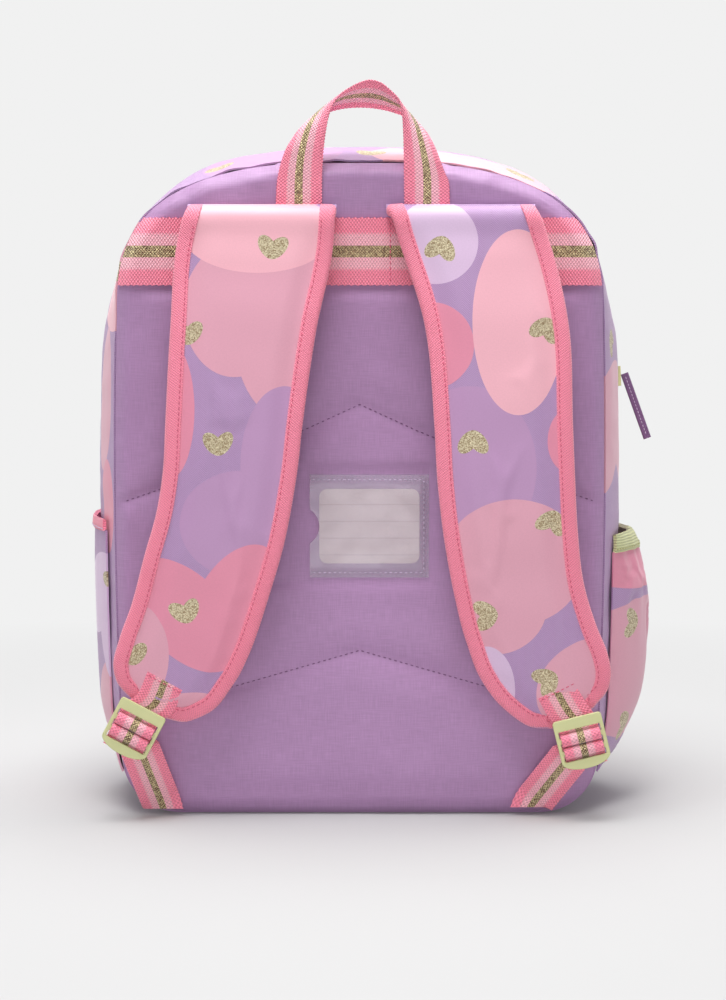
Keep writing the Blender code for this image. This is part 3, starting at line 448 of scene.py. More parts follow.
class Graph:
    """A material's node tree, with short names for the nodes it is built from."""

    def __init__(self, name, roughness, **values):
        self.material = bpy.data.materials.new(name)
        self.material.use_nodes = True
        self.tree = self.material.node_tree
        self.shader = self.tree.nodes["Principled BSDF"]
        self.shader.inputs["Roughness"].default_value = roughness
        for socket, value in values.items():
            self.shader.inputs[socket.replace("_", " ")].default_value = value
        self.uv = self.tree.nodes.new("ShaderNodeTexCoord").outputs["UV"]

    def put(self, socket, value):
        if isinstance(value, bpy.types.NodeSocket):
            self.tree.links.new(value, socket)
        else:
            socket.default_value = value

    def math(self, operation, *values):
        node = self.tree.nodes.new("ShaderNodeMath")
        node.operation = operation
        for socket, value in zip(node.inputs, values):
            self.put(socket, value)
        return node.outputs[0]

    def vector(self, operation, *values):
        node = self.tree.nodes.new("ShaderNodeVectorMath")
        node.operation = operation
        for socket, value in zip(node.inputs, values):
            self.put(socket, value)
        return node.outputs["Value"] if operation == "LENGTH" else node.outputs["Vector"]

    def split(self, vector):
        node = self.tree.nodes.new("ShaderNodeSeparateXYZ")
        self.put(node.inputs[0], vector)
        return node.outputs

    def join(self, x, y):
        node = self.tree.nodes.new("ShaderNodeCombineXYZ")
        self.put(node.inputs[0], x)
        self.put(node.inputs[1], y)
        return node.outputs[0]

    def mix(self, share, a, b):
        node = self.tree.nodes.new("ShaderNodeMix")
        node.data_type = "RGBA"
        self.put(node.inputs["Factor"], share)
        self.put(node.inputs[6], a)
        self.put(node.inputs[7], b)
        return node.outputs[2]

    def between(self, value, low, high, out_low=0.0, out_high=1.0):
        node = self.tree.nodes.new("ShaderNodeMapRange")
        for socket, number in zip(node.inputs, (value, low, high, out_low, out_high)):
            self.put(socket, number)
        return node.outputs[0]

    def placed(self, vector, place, turn, size):
        """The vector seen from a place, turned and scaled, so that the shape there has radius 1."""
        node = self.tree.nodes.new("ShaderNodeMapping")
        node.vector_type = "TEXTURE"
        for socket, value in zip(node.inputs, (vector, (*place, 0), (0, 0, turn), (*size, 1))):
            self.put(socket, value)
        return node.outputs[0]

    def noise(self, scale, stretch=(1, 1), detail=2.0):
        node = self.tree.nodes.new("ShaderNodeTexNoise")
        self.put(node.inputs["Vector"], self.vector("MULTIPLY", self.uv, (*stretch, 1)))
        node.inputs["Scale"].default_value = scale
        node.inputs["Detail"].default_value = detail
        return node.outputs["Fac"]

    def cells(self, scale):
        """A random value for each small cell of the surface."""
        node = self.tree.nodes.new("ShaderNodeTexVoronoi")
        self.put(node.inputs["Vector"], self.uv)
        node.inputs["Scale"].default_value = scale
        return self.split(node.outputs["Color"])[0]

    def shade(self, colour, value, amount):
        """The colour made lighter or darker by a value round one half."""
        node = self.tree.nodes.new("ShaderNodeHueSaturation")
        self.put(node.inputs["Value"], self.between(value, 0.2, 0.8, 1 - amount, 1 + amount))
        self.put(node.inputs["Color"], colour)
        return node.outputs[0]

    def finish(self, colour, height=None, depth=0.0002, strength=0.6):
        self.put(self.shader.inputs["Base Color"], colour)
        if height is not None:
            bump = self.tree.nodes.new("ShaderNodeBump")
            bump.inputs["Distance"].default_value = depth
            bump.inputs["Strength"].default_value = strength
            self.put(bump.inputs["Height"], height)
            self.put(self.shader.inputs["Normal"], bump.outputs[0])
        return self.material


def threads(graph, fine=1600.0, long=90.0):
    """Warp and weft threads of uneven thickness, as a height near one half."""
    warp = graph.noise(1.0, (fine, long), 1.0)
    weft = graph.noise(1.0, (long, fine), 1.0)
    return graph.math("MULTIPLY_ADD", warp, 0.5, graph.math("MULTIPLY", weft, 0.5))


def plain_cloth(name, colour, roughness=0.55, depth=0.00025):
    """Plain weave with slubs, and slow changes of shade."""
    graph = Graph(name, roughness, Sheen_Weight=0.4, Sheen_Roughness=0.4)
    weave = threads(graph)
    slow = graph.noise(14.0)
    tone = graph.shade(graph.shade(linear(colour), weave, 0.16), slow, 0.05)
    return graph.finish(tone, weave, depth)


def twill(graph):
    """Herringbone twill as a height from 0 to 1."""
    u, v, _ = graph.split(graph.uv)
    zigzag = graph.math("PINGPONG", u, 0.0045)
    wave = graph.math("SINE", graph.math("MULTIPLY", graph.math("ADD", zigzag, v), math.tau / 0.0014))
    return graph.between(wave, -1, 1)


def repeated(graph, place, turn, size, tile):
    """The point measured from the nearest repeat of a place, scaled to the shape's size."""
    from_place = graph.vector("SUBTRACT", graph.uv, (*place, 0))
    half = (tile / 2,) * 3
    wrapped = graph.vector("WRAP", from_place, half, tuple(-h for h in half))
    return graph.placed(wrapped, (0, 0), turn, size)


def oval(graph, *spot):
    return graph.vector("LENGTH", repeated(graph, *spot))


def heart(graph, *spot):
    """Field of a rounded heart, two leaning ovals mirrored about its axis: 1 on its edge."""
    x, y, _ = graph.split(repeated(graph, *spot))
    folded = graph.join(graph.math("ABSOLUTE", x), y)
    return graph.vector("LENGTH", graph.placed(folded, (0.36, 0.0), math.radians(-38), (0.58, 0.98)))


def printed_cloth(name, shapes, glitter, tile=1.0):
    """Purple twill printed with large plain shapes and small hearts of gold glitter, whose flecks are painted
    glints.
    """
    graph = Graph(name, 0.5, Sheen_Weight=0.2, Sheen_Roughness=0.4)
    colour, printed = linear("twill"), None
    for form, tint, place, size, turn in shapes:
        field = (heart if form == "heart" else oval)(graph, place, math.radians(turn), size, tile)
        inside = graph.math("LESS_THAN", field, 1.0)
        colour = graph.mix(inside, colour, linear(tint))
        printed = inside if printed is None else graph.math("MAXIMUM", printed, inside)
    weave = threads(graph, 1500.0, 700.0)
    bare = graph.math("SUBTRACT", 1.0, printed)
    ribs = graph.math("MULTIPLY", twill(graph), bare)
    colour = graph.shade(graph.shade(colour, weave, 0.05), ribs, 0.07)
    gold = None
    for place, turn in glitter:
        inside = graph.math("LESS_THAN", heart(graph, place, math.radians(turn), (0.0085, 0.0085), tile), 1.0)
        gold = inside if gold is None else graph.math("MAXIMUM", gold, inside)
    # Each small cell of the glitter is dark brown or pale gold: painted glints; the same cells give the
    # glitter its bumps
    flecks = graph.cells(1700.0)
    painted_glints = graph.mix(graph.between(flecks, 0.05, 0.95), (0.30, 0.20, 0.10, 1), (0.80, 0.72, 0.50, 1))
    colour = graph.mix(gold, colour, painted_glints)
    graph.put(graph.shader.inputs["Metallic"], graph.math("MULTIPLY", gold, 0.35))
    height = graph.math("ADD", graph.math("MULTIPLY", weave, 0.35), ribs)
    height = graph.math("ADD", height, graph.math("MULTIPLY", gold, flecks))
    return graph.finish(colour, height, 0.0003, 0.5)


def woven_bumps(graph, across, along, lean=0.0):
    """Interlaced bumps of a coarse plain weave, from 0 to 1."""
    u, v, _ = graph.split(graph.uv)
    shifted = graph.math("MULTIPLY_ADD", u, lean, v)
    warp = graph.math("SINE", graph.math("MULTIPLY", u, math.tau / across))
    weft = graph.math("SINE", graph.math("MULTIPLY", shifted, math.tau / along))
    return graph.between(graph.math("MULTIPLY", warp, weft), -1, 1)


def striped_webbing(name, half):
    """Pink webbing: darker edges, lighter stripes, painted highlights on its bumps and a stripe of gold lurex
    with painted glints down the middle.
    """
    graph = Graph(name, 0.6, Sheen_Weight=0.3, Sheen_Roughness=0.5)
    u, v, _ = graph.split(graph.uv)
    side = graph.math("ABSOLUTE", graph.math("DIVIDE", u, half))
    bumps = woven_bumps(graph, 0.0027, PICK)
    light = graph.between(graph.math("MULTIPLY_ADD", bumps, 0.10, side), 0.62, 0.54)
    gold = graph.math("LESS_THAN", side, 0.175)
    colour = graph.mix(light, linear("webbing_edge"), linear("webbing_light"))
    # Painted highlights on the tops of the weave's bumps, and painted shade between them
    colour = graph.shade(colour, bumps, 0.20)
    # Gold lurex: flecks of dark brown and pale gold, the painted shade and painted glints of the metallic
    # thread
    glitter = graph.math("MULTIPLY_ADD", graph.cells(1300.0), 0.45,
                         graph.math("MULTIPLY", woven_bumps(graph, 0.0017, 0.0017), 0.55))
    lurex = graph.mix(graph.between(glitter, 0.30, 0.72), linear("lurex_painted_shade"), linear("lurex_painted_glint"))
    colour = graph.mix(gold, colour, lurex)
    graph.put(graph.shader.inputs["Metallic"], graph.math("MULTIPLY", gold, 0.4))
    return graph.finish(colour, bumps, 0.0006, 0.9)


def grosgrain(name, colour, rib=0.0013):
    """Narrow binding tape with fine ribs across it."""
    graph = Graph(name, 0.6, Sheen_Weight=0.3, Sheen_Roughness=0.5)
    bumps = woven_bumps(graph, 0.0018, 1.25 * rib, 0.25)
    return graph.finish(graph.shade(linear(colour), bumps, 0.13), bumps, 0.0005, 0.8)


def thread(name, colour):
    graph = Graph(name, 0.5, Sheen_Weight=0.3)
    return graph.finish(graph.shade(linear(colour), graph.noise(3000.0), 0.12), graph.noise(2500.0), 0.0001)


def moulded(name, colour):
    """Satin plastic with a faint moulded grain."""
    graph = Graph(name, 0.42)
    grain = graph.noise(900.0, detail=3.0)
    return graph.finish(graph.shade(linear(colour), graph.noise(60.0), 0.03), grain, 0.00006, 0.5)


def metal():
    graph = Graph("slider_metal", 0.32, Metallic=0.85)
    return graph.finish(graph.shade((0.60, 0.56, 0.30, 1), graph.noise(300.0), 0.08),
                        graph.noise(1200.0), 0.00003)


def elastic():
    """Lime elastic with ribs along it and fine cross threads."""
    graph = Graph("lime_elastic", 0.65, Sheen_Weight=0.3)
    _, v, _ = graph.split(graph.uv)
    ribs = graph.between(graph.math("SINE", graph.math("MULTIPLY", v, math.tau / 0.0017)), -1, 1)
    weave = graph.noise(1.0, (2400.0, 700.0))
    tone = graph.shade(graph.shade(linear("lime"), ribs, 0.14), weave, 0.10)
    return graph.finish(tone, graph.math("ADD", ribs, weave), 0.0005, 0.8)


def film():
    graph = Graph("clear_film", 0.22, Alpha=0.30)
    cloud = graph.noise(40.0)
    return graph.finish(graph.shade((0.62, 0.54, 0.66, 1), cloud, 0.06), cloud, 0.0006, 0.5)


def card_paper(low, high):
    """Off-white card with four faint writing lines."""
    graph = Graph("name_card", 0.75)
    _, v, _ = graph.split(graph.uv)
    tall = high - low
    colour = graph.shade(linear("card"), graph.noise(900.0), 0.03)
    for k in range(4):
        offset = graph.math("ABSOLUTE", graph.math("SUBTRACT", v, high - tall * (0.21 + 0.225 * k)))
        line = graph.math("MULTIPLY", graph.math("LESS_THAN", offset, 0.00035), 0.45)
        colour = graph.mix(line, colour, (0.40, 0.34, 0.33, 1))
    return graph.finish(colour, graph.noise(1500.0), 0.00005)


def spacer_mesh():
    """Knitted spacer fabric with small round holes."""
    graph = Graph("spacer_mesh", 0.8, Sheen_Weight=0.3)
    holes = woven_bumps(graph, 0.0034, 0.0034)
    tone = graph.mix(graph.between(holes, 0.55, 0.8), linear("mesh"), linear("purple_thread"))
    return graph.finish(tone, graph.math("SUBTRACT", 1.0, holes), 0.0006, 0.9)


def foam():
    graph = Graph("foam", 0.95)
    pores = graph.noise(1400.0, detail=3.0)
    return graph.finish(graph.shade(linear("foam"), pores, 0.1), pores, 0.0004)


# Prints: shapes as (form, colour, place, size, turn), then glitter hearts as (place, turn)
STRAP_PRINTS = {
    "left": (
        [("oval", "dusty", (-0.0770, 0.3197), (0.032, 0.041), 0),
         ("oval", "dusty", (-0.0463, 0.3073), (0.031, 0.054), 0),
         ("oval", "pink", (-0.0630, 0.3680), (0.047, 0.0255), 0),
         ("oval", "rose", (-0.1175, 0.2580), (0.016, 0.042), 0),
         ("oval", "lilac", (-0.0463, 0.2240), (0.027, 0.049), 0),
         ("oval", "lilac", (-0.0740, 0.1880), (0.037, 0.033), 0),
         ("heart", "rose", (-0.0930, 0.1330), (0.043, 0.045), 8),
         ("oval", "dusty", (-0.1370, 0.1060), (0.018, 0.031), 0),
         ("oval", "dusty", (-0.1050, 0.0700), (0.024, 0.012), 0)],
        [((-0.0537, 0.3580), -6), ((-0.1060, 0.3055), 0), ((-0.0870, 0.2376), 2), ((-0.1085, 0.1332), 14),
         ((-0.1415, 0.1060), 0)]),
    "right": (
        [("oval", "light_lilac", (0.0470, 0.3617), (0.026, 0.026), 0),
         ("oval", "rose", (0.0450, 0.2980), (0.025, 0.0265), 0),
         ("oval", "lilac", (0.0680, 0.2220), (0.041, 0.051), 0),
         ("oval", "pink", (0.0975, 0.3123), (0.0285, 0.057), 0),
         ("oval", "rose", (0.1300, 0.2394), (0.0145, 0.020), 0),
         ("oval", "dusty", (0.0957, 0.1640), (0.044, 0.0395), 0),
         ("oval", "dusty", (0.0830, 0.1360), (0.033, 0.030), 0),
         ("oval", "light_lilac", (0.0790, 0.0820), (0.018, 0.029), 0),
         ("oval", "dusty", (0.1420, 0.0870), (0.034, 0.027), 35)],
        [((0.0500, 0.3580), 168), ((0.1143, 0.3080), 160), ((0.0698, 0.2388), 180), ((0.1186, 0.1894), 160),
         ((0.0785, 0.1310), 100), ((0.1167, 0.0895), 120)]),
}
# On the gusset: distance from the top centre towards -X, and y
GUSSET_PRINT = (
    [("oval", "pink", (-0.066, -0.050), (0.060, 0.034), 0),
     ("oval", "lilac", (0.055, -0.045), (0.044, 0.040), 0),
     ("oval", "pink", (0.183, -0.060), (0.036, 0.040), 0),
     ("oval", "dusty", (0.262, -0.045), (0.046, 0.016), 4),
     ("oval", "rose", (0.330, -0.052), (0.030, 0.014), 0),
     ("heart", "dusty", (-0.280, -0.040), (0.055, 0.050), 90),
     ("oval", "light_lilac", (-0.160, -0.030), (0.030, 0.030), 0),
     ("heart", "pink", (0.02, 0.042), (0.05, 0.04), 20),
     ("oval", "rose", (-0.12, 0.045), (0.04, 0.03), 0),
     ("heart", "dusty", (0.15, 0.03), (0.05, 0.04), -30)],
    [((0.088, -0.052), 0), ((-0.0065, -0.050), 10), ((-0.101, -0.052), 0), ((0.180, -0.066), 90),
     ((-0.225, -0.050), 40), ((0.30, 0.02), 70), ((0.04, 0.05), 120)])
POCKET_PRINT = (
    [("oval", "dusty", (-0.018, 0.088), (0.080, 0.046), 0),
     ("oval", "rose", (-0.028, 0.168), (0.062, 0.028), 0)],
    [((-0.040, 0.118), 80), ((-0.036, 0.052), 100), ((0.010, 0.100), 20)])
TILE = 0.20
TILE_PRINT = (
    [("heart", "dusty", (0.030, 0.040), (0.052, 0.052), 20),
     ("oval", "lilac", (0.110, 0.030), (0.040, 0.034), 30),
     ("heart", "pink", (0.150, 0.100), (0.050, 0.050), -25),
     ("heart", "light_lilac", (0.050, 0.130), (0.042, 0.042), 150),
     ("oval", "rose", (0.100, 0.165), (0.036, 0.028), 60)],
    [((0.020, 0.030), 10), ((0.105, 0.060), 160), ((0.160, 0.120), -15), ((0.060, 0.150), 40),
     ((0.000, 0.095), 90), ((0.120, 0.180), 20)])


def make_materials():
    window_low, window_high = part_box("name_card")
    made = {
        "back": plain_cloth("back_cloth", "purple"),
        "print": printed_cloth("printed_cloth", *TILE_PRINT, TILE),
        "gusset_print": printed_cloth("printed_gusset", *GUSSET_PRINT),
        "pocket_print": printed_cloth("printed_side_pocket", *POCKET_PRINT),
        "webbing": striped_webbing("striped_webbing", HALF_WEBBING),
        "band": striped_webbing("striped_band", HALF_BAND),
        "handle": striped_webbing("striped_handle", HALF_HANDLE),
        "binding": grosgrain("grosgrain_binding", "binding"),
        "lining": plain_cloth("lining_cloth", "lining", 0.7),
        "foam": foam(),
        "mesh": spacer_mesh(),
        "tape": grosgrain("zip_tape", "tape", 0.0007),
        "coil": moulded("zip_coil", "tape"),
        "puller": grosgrain("puller_tape", "puller", 0.0007),
        "metal": metal(),
        "lime": moulded("lime_plastic", "lime"),
        "elastic": elastic(),
        "film": film(),
        "card": card_paper(window_low.z, window_high.z),
        "pink_thread": thread("pink_thread", "thread"),
        "purple_thread": thread("purple_thread", "purple_thread"),
        "pale_thread": thread("pale_thread", "pale_thread"),
        "lime_thread": thread("lime_thread", "lime_thread"),
    }
    for side, (shapes, glitter) in STRAP_PRINTS.items():
        made[f"print_{side}"] = printed_cloth(f"printed_strap_{side}", shapes, glitter)
    return made


def on_body(piece, body, nodes=()):
    """Rides a piece on a body, in place of the CAD nodes that it stands for."""
    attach(piece, body)
    return in_place(piece, nodes)


def on_bag_or_lid(piece, body, node):
    """Rides a piece on the bag, or, for the lid, bakes its transform and leaves it unparented; either way it
    stands in for the CAD node.
    """
    if body == "lid":
        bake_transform(piece)
        in_place(piece, node)
    else:
        on_body(piece, "bag", node)


def in_place(piece, nodes=()):
    if nodes:
        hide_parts(*([nodes] if isinstance(nodes, str) else nodes))
    return piece


# ---------------------------------------------------------------- outlines

def half_width(z):
    """Half width of the back panel at heights."""
    z = np.asarray(z, float)
    low = BASE + CORNER
    corner = BOTTOM_HALF + np.sqrt(CORNER ** 2 - np.clip(low - z, 0, CORNER) ** 2)
    u = np.clip((z - low) / (SHOULDER_Z - low), 0, 1)
    side = SIDE_LOW + (SIDE_HIGH - SIDE_LOW) * u + 4 * SIDE_SWELL * u * (1 - u)
    rise = np.clip((z - SHOULDER_Z) / ARCH_RISE, 0, 1)
    arch = SIDE_HIGH * (1 - rise ** ARCH_POWER) ** (1 / ARCH_POWER)
    return np.where(z < low, corner, np.where(z < SHOULDER_Z, side, arch))


class Outline:
    """A closed outline in the XZ plane, read by distance from bottom centre up the +X side."""

    def __init__(self, half):
        loop = list(half) + [(-x, z) for x, z in reversed(half[1:-1])] + [half[0]]
        self.points = np.array(loop)
        self.marks = lengths(self.points)
        self.length = self.marks[-1]
        self.rising = len(half)

    def place(self, s):
        s = np.mod(s, self.length)
        return np.stack([np.interp(s, self.marks, self.points[:, k]) for k in (0, 1)], -1)

    def at(self, s):
        """Points and outward normals at distances along the outline."""
        here = self.place(s)
        along = unit(self.place(s + 0.0015) - self.place(s - 0.0015))
        zero = np.zeros(len(here))
        return (np.stack([here[:, 0], zero, here[:, 1]], -1),
                np.stack([along[:, 1], zero, -along[:, 0]], -1))

    def where(self, z):
        """Distance at which the +X side reaches a height."""
        return float(np.interp(z, self.points[:self.rising, 1], self.marks[:self.rising]))

    def inside(self, x, z):
        """Distance to the nearest edge from points inside."""
        flat = np.stack([np.ravel(x), np.ravel(z)], -1)
        return nearest(flat, self.points).reshape(np.shape(x))


def arc(centre, radius, start, end, steps):
    angles = np.radians(np.linspace(start, end, steps + 1))
    return [(centre[0] + radius * math.cos(a), centre[1] + radius * math.sin(a)) for a in angles]


def body_half():
    half = [(0.0, BASE)] + arc((BOTTOM_HALF, BASE + CORNER), CORNER, -90, 0, 12)
    heights = np.linspace(BASE + CORNER, SHOULDER_Z, 30)[1:]
    half += list(zip(half_width(heights).tolist(), heights.tolist()))
    for angle in np.radians(np.linspace(0, 90, 31)[1:]):
        x = SIDE_HIGH * max(0.0, math.cos(angle)) ** (2 / ARCH_POWER)
        half.append((x, SHOULDER_Z + ARCH_RISE * math.sin(angle) ** (2 / ARCH_POWER)))
    half[-1] = (0.0, SHOULDER_Z + ARCH_RISE)
    return half


def pocket_half():
    low_radius, high_radius = POCKET_CORNERS
    half = [(0.0, POCKET_LOW)]
    half += arc((POCKET_HALF - low_radius, POCKET_LOW + low_radius), low_radius, -90, 0, 8)
    half += arc((POCKET_HALF - high_radius, POCKET_HIGH - high_radius), high_radius, 0, 90, 12)
    return half + [(0.0, POCKET_HIGH)]


BODY = Outline(body_half())
POCKET = Outline(pocket_half())
CORNER_TOP = BODY.where(BASE + CORNER)
SPLIT = BODY.where(SPLIT_Z)


def bulge(z, y):
    """Outward swell of the main gusset: none where the bag stands, little round the shoulders."""
    reach = smooth((z - BASE) / 0.07) * (1 - SHOULDER_DIP * np.exp(-((z - DIP_Z) / DIP_SPREAD) ** 2))
    return GUSSET_BULGE * reach * (1 - (y / HALF_DEPTH) ** 2)


def strip(outline, start, end, depths, lift, swell=None, step=0.003):
    """A strip of fabric that follows an outline: (grid, uv), rows along it."""
    s = np.linspace(start, end, max(3, int((end - start) / step)))
    y = np.asarray(depths)
    point, normal = outline.at(s)
    height = np.broadcast_to(lift, (len(s), len(y))).copy()
    if swell:
        height += swell(point[:, None, 2], y[None])
    grid = point[:, None] + normal[:, None] * height[..., None]
    grid[..., 1] += y
    uv = np.stack(np.broadcast_arrays(s[:, None], y[None]), -1)
    return grid, uv


def rolled_depth(outline, x, z, edge, depth, roll):
    """y of a face that rises from its edge over a rolled border."""
    share = np.minimum(1.0, outline.inside(x, z) / roll)
    return edge + depth * np.sin(share * math.pi / 2)


def to_line(x, z, line):
    """Distance from points to a line of (x, z) corners mirrored about x = 0."""
    flat = np.stack([np.abs(np.ravel(x)), np.ravel(z)], -1)
    return nearest(flat, line).reshape(np.shape(x))


def face_rows(width, low, high, arch_from, rows, columns):
    """x and z of a grid over a face, with rows closer together in its top arch."""
    share = (arch_from - low) / (high - low)
    straight = np.linspace(low, arch_from, int(rows * share))
    arched = arch_from + (high - arch_from) * np.sin(np.linspace(0, math.pi / 2, rows - len(straight) + 1))
    z = np.concatenate([straight, arched[1:]])
    across = np.sin(np.linspace(-1, 1, columns) * math.pi / 2 * 0.82) / math.sin(math.pi / 2 * 0.82)
    x = width(z)[:, None] * across[None]
    return x, np.broadcast_to(z[:, None], x.shape).copy()


# ---------------------------------------------------------------- body pieces

def flat_areas(x, z):
    """1 where something lies on the back panel, 0 where it is free to swell."""
    band = smooth((0.031 - np.abs(z - BAND_Z)) / 0.008)
    feet = smooth((FOOT_REACH - np.abs(x)) / 0.018) * smooth((FOOT_TOP - z) / 0.010) * (z > BAND_Z)
    beside, above = np.abs(x - WINDOW_PLACE[0]), np.abs(z - WINDOW_PLACE[1])
    window = smooth((WINDOW_REACH[0] - beside) / 0.008) * smooth((WINDOW_REACH[1] - above) / 0.008)
    return np.maximum.reduce([band, feet, window])


def back_surface():
    """The back panel's outer face: its grid, settled between the stitched lines."""
    x, z = face_rows(half_width, BASE, PANEL_TOP, SHOULDER_Z, 190, 130)
    y = rolled_depth(BODY, x, z, -(HALF_DEPTH + RIM), -ROLL_DEPTH, BACK_ROLL)
    grid = np.stack([x, y, z], -1)
    edge = BODY.inside(x, z)
    lines = np.minimum(*(to_line(x, z, line) for line in CHEVRONS))
    held = np.clip(1.3 - edge / 0.006, 0, 1)
    held = np.maximum(held, np.clip(1.2 - lines / 0.0035, 0, 1))
    flat = flat_areas(x, z)
    held = np.maximum(held, flat)
    grid = settle(grid, held, 2.2, 0.006, 0.0022)
    fade = smooth(lines / 0.012) * smooth(edge / 0.010)
    free = 1 - flat
    grid[..., 1] += 0.0011 * np.exp(-(lines / 0.0030) ** 2) * smooth(edge / 0.006)
    grid[..., 1] -= 0.0016 * smooth(lines / 0.020) * smooth((edge - 0.006) / 0.02) * free
    grid[..., 1] -= (0.0009 * ripple(grid, 0.045, 1) + 0.0004 * ripple(grid, 0.016, 2)) * fade * free
    puckers = np.exp(-(edge / 0.007) ** 2) * smooth((z - 0.30) / 0.1)
    grid[..., 1] += 0.0020 * puckers * ripple(grid, 0.013, 3)
    return grid, np.stack([x, z], -1)


def surface_y(grid, x, z):
    """y of the back surface nearest to each (x, z)."""
    flat = grid[..., [0, 2]].reshape(-1, 2)
    y = grid[..., 1].ravel()
    return np.array([y[np.argmin(((flat - p) ** 2).sum(1))] for p in np.stack([x, z], -1)])


def chevron_stitches(grid, material):
    for k, line in enumerate(CHEVRONS):
        corners = [(-x, z) for x, z in reversed(line[1:])] + list(line)
        marks = np.cumsum([0] + [math.dist(a, b) for a, b in zip(corners, corners[1:])])
        at = np.arange(0, marks[-1], 0.0015)
        x = np.interp(at, marks, [c[0] for c in corners])
        z = np.interp(at, marks, [c[1] for c in corners])
        keep = np.abs(x) < half_width(z) - 0.006
        x, z = x[keep], z[keep]
        y = surface_y(grid, x, z) - 0.0001
        outward = facing(len(x))
        seam = stitches(f"panel_stitching_{k}", np.stack([x, y, z], -1), outward, material,
                        0.0036, 0.0021, 0.00034)
        on_body(seam, "bag")


def back_panel(mats):
    grid, uv = back_surface()
    panel = cloth("back_panel", grid, uv, mats["back"])
    on_body(panel, "bag", ("back_panel_cover",))
    chevron_stitches(grid, mats["purple_thread"])
    return grid


def back_band(mats):
    """Wide webbing across the shoulders, under the straps."""
    low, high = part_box("back_band")
    z = np.linspace(low.z, high.z, 33)
    share = np.linspace(-1, 1, 220)
    x = half_width(z)[:, None] * share[None] * 0.999
    z = np.broadcast_to(z[:, None], x.shape)
    y = rolled_depth(BODY, x, z, -(HALF_DEPTH + RIM), -ROLL_DEPTH, BACK_ROLL)
    scallop = 0.00035 * np.sin(x / PICK * math.pi)
    wave = scallop * (np.abs(z - (low.z + high.z) / 2) > 0.0205)
    grid = np.stack([x, y - WEBBING - 2 * GAP, z + wave], -1)
    uv = np.stack([z - (low.z + high.z) / 2, x], -1)
    band = cloth("shoulder_band", grid, uv, mats["band"], FABRIC)
    on_body(band, "bag", "back_band")
    rows = np.linspace(low.z + 0.002, high.z - 0.002, 20)
    line = np.stack([np.full(20, 0.019), np.full(20, y[5, 110] - WEBBING - 2 * GAP - 0.0001), rows], -1)
    seam = stitches("band_stitching", line, facing(20), mats["pink_thread"])
    on_body(seam, "bag")


def gusset_pieces(mats):
    """Side panels, bottom and the printed strips beside the main zip."""
    rear, front = -HALF_DEPTH + GAP, HALF_DEPTH - GAP
    across = np.linspace(rear, front, 40)
    rear_edge = ZIP_Y - COIL_GAP / 2 - TAPE
    front_edge = ZIP_Y + COIL_GAP / 2 + TAPE
    end = BODY.length
    pieces = (
        ("bottom", "bottom_panel", -CORNER_TOP, CORNER_TOP, across, "back", "bag"),
        ("side_right", "side_panel_right", CORNER_TOP, SPLIT, across, "gusset_print", "bag"),
        ("side_left", "side_panel_left", end - SPLIT, end - CORNER_TOP, across, "gusset_print", "bag"),
        ("rear_strip", "rear_gusset", SPLIT, end - SPLIT, np.linspace(rear, rear_edge, 26),
         "gusset_print", "bag"),
        ("front_strip", "front_gusset", SPLIT, end - SPLIT, np.linspace(front_edge, front, 18),
         "gusset_print", "lid"),
    )
    for name, node, start, stop, depths, material, body in pieces:
        grid, uv = strip(BODY, start, stop, depths, FABRIC, bulge)
        uv = uv - (end / 2, 0)
        normal = normals_of(grid, MIDDLE)
        seam = np.exp(-((HALF_DEPTH - np.abs(grid[..., 1])) / 0.006) ** 2)
        free = smooth((HALF_DEPTH - np.abs(grid[..., 1])) / 0.012) * smooth((grid[..., 2] - 0.004) / 0.02)
        move = (0.0011 * ripple(grid, 0.04, 4) + 0.0005 * ripple(grid, 0.013, 5)) * free
        move += 0.0016 * seam * ripple(grid, 0.013, 6) * smooth((grid[..., 2] - 0.28) / 0.08)
        to_zip = np.minimum(np.abs(grid[..., 1] - rear_edge), np.abs(grid[..., 1] - front_edge))
        if body == "lid" or node == "rear_gusset":
            move *= smooth(to_zip / 0.01)
        piece = cloth(name, grid + normal * move[..., None], uv, mats[material])
        on_bag_or_lid(piece, body, node)


def tooth():
    """One moulded element of a zip coil: x along the tape, y towards the other side, z up."""
    ring = [(-0.5, 0.0), (-0.36, 0.5), (0.36, 0.5), (0.5, 0.0), (0.36, -0.4), (-0.36, -0.4)]
    shape = [(a * 0.0010, y, 0.0006 + b * 0.0018) for y, a, b in
             [(y * size_y, a * size, b * size) for y, size_y, size in
              ((0.0, 0.0022, 0.8), (0.25, 0.0022, 1.0), (1.0, 0.0022, 1.0), (1.15, 0.0022, 0.7))
              for a, b in ring]]
    faces = grid_faces(4, 6, closed=True) + [tuple(reversed(range(6))), tuple(range(18, 24))]
    return shape, faces


def zip_side(name, outline, start, end, near, far, swell, mats):
    """A tape and its coil; near is the sewn edge and far the edge with the coil."""
    depths = np.linspace(near, far, 8)
    grid, uv = strip(outline, start, end, depths, FABRIC, swell, 0.0025)
    tape = cloth(f"{name}_tape", grid, uv, mats["tape"], 0.0009)
    s = np.arange(start + TOOTH_PITCH, end - TOOTH_PITCH, TOOTH_PITCH)
    s += (TOOTH_PITCH / 2) * (far > near)
    point, normal = outline.at(s)
    toward = math.copysign(1.0, far - near)
    lift = swell(point[:, 2], far) if swell else 0.0
    place = point + normal * (np.broadcast_to(lift, len(s))[:, None] + 0.0004)
    place[:, 1] += far - toward * 0.0014
    y_axis = facing(len(s), toward)
    coil = copies(f"{name}_coil", *tooth(), (place, np.cross(y_axis, normal), y_axis, normal), mats["coil"])
    face_out(coil)
    return tape, coil


def zip_bulge(z, _):
    return bulge(z, ZIP_Y)


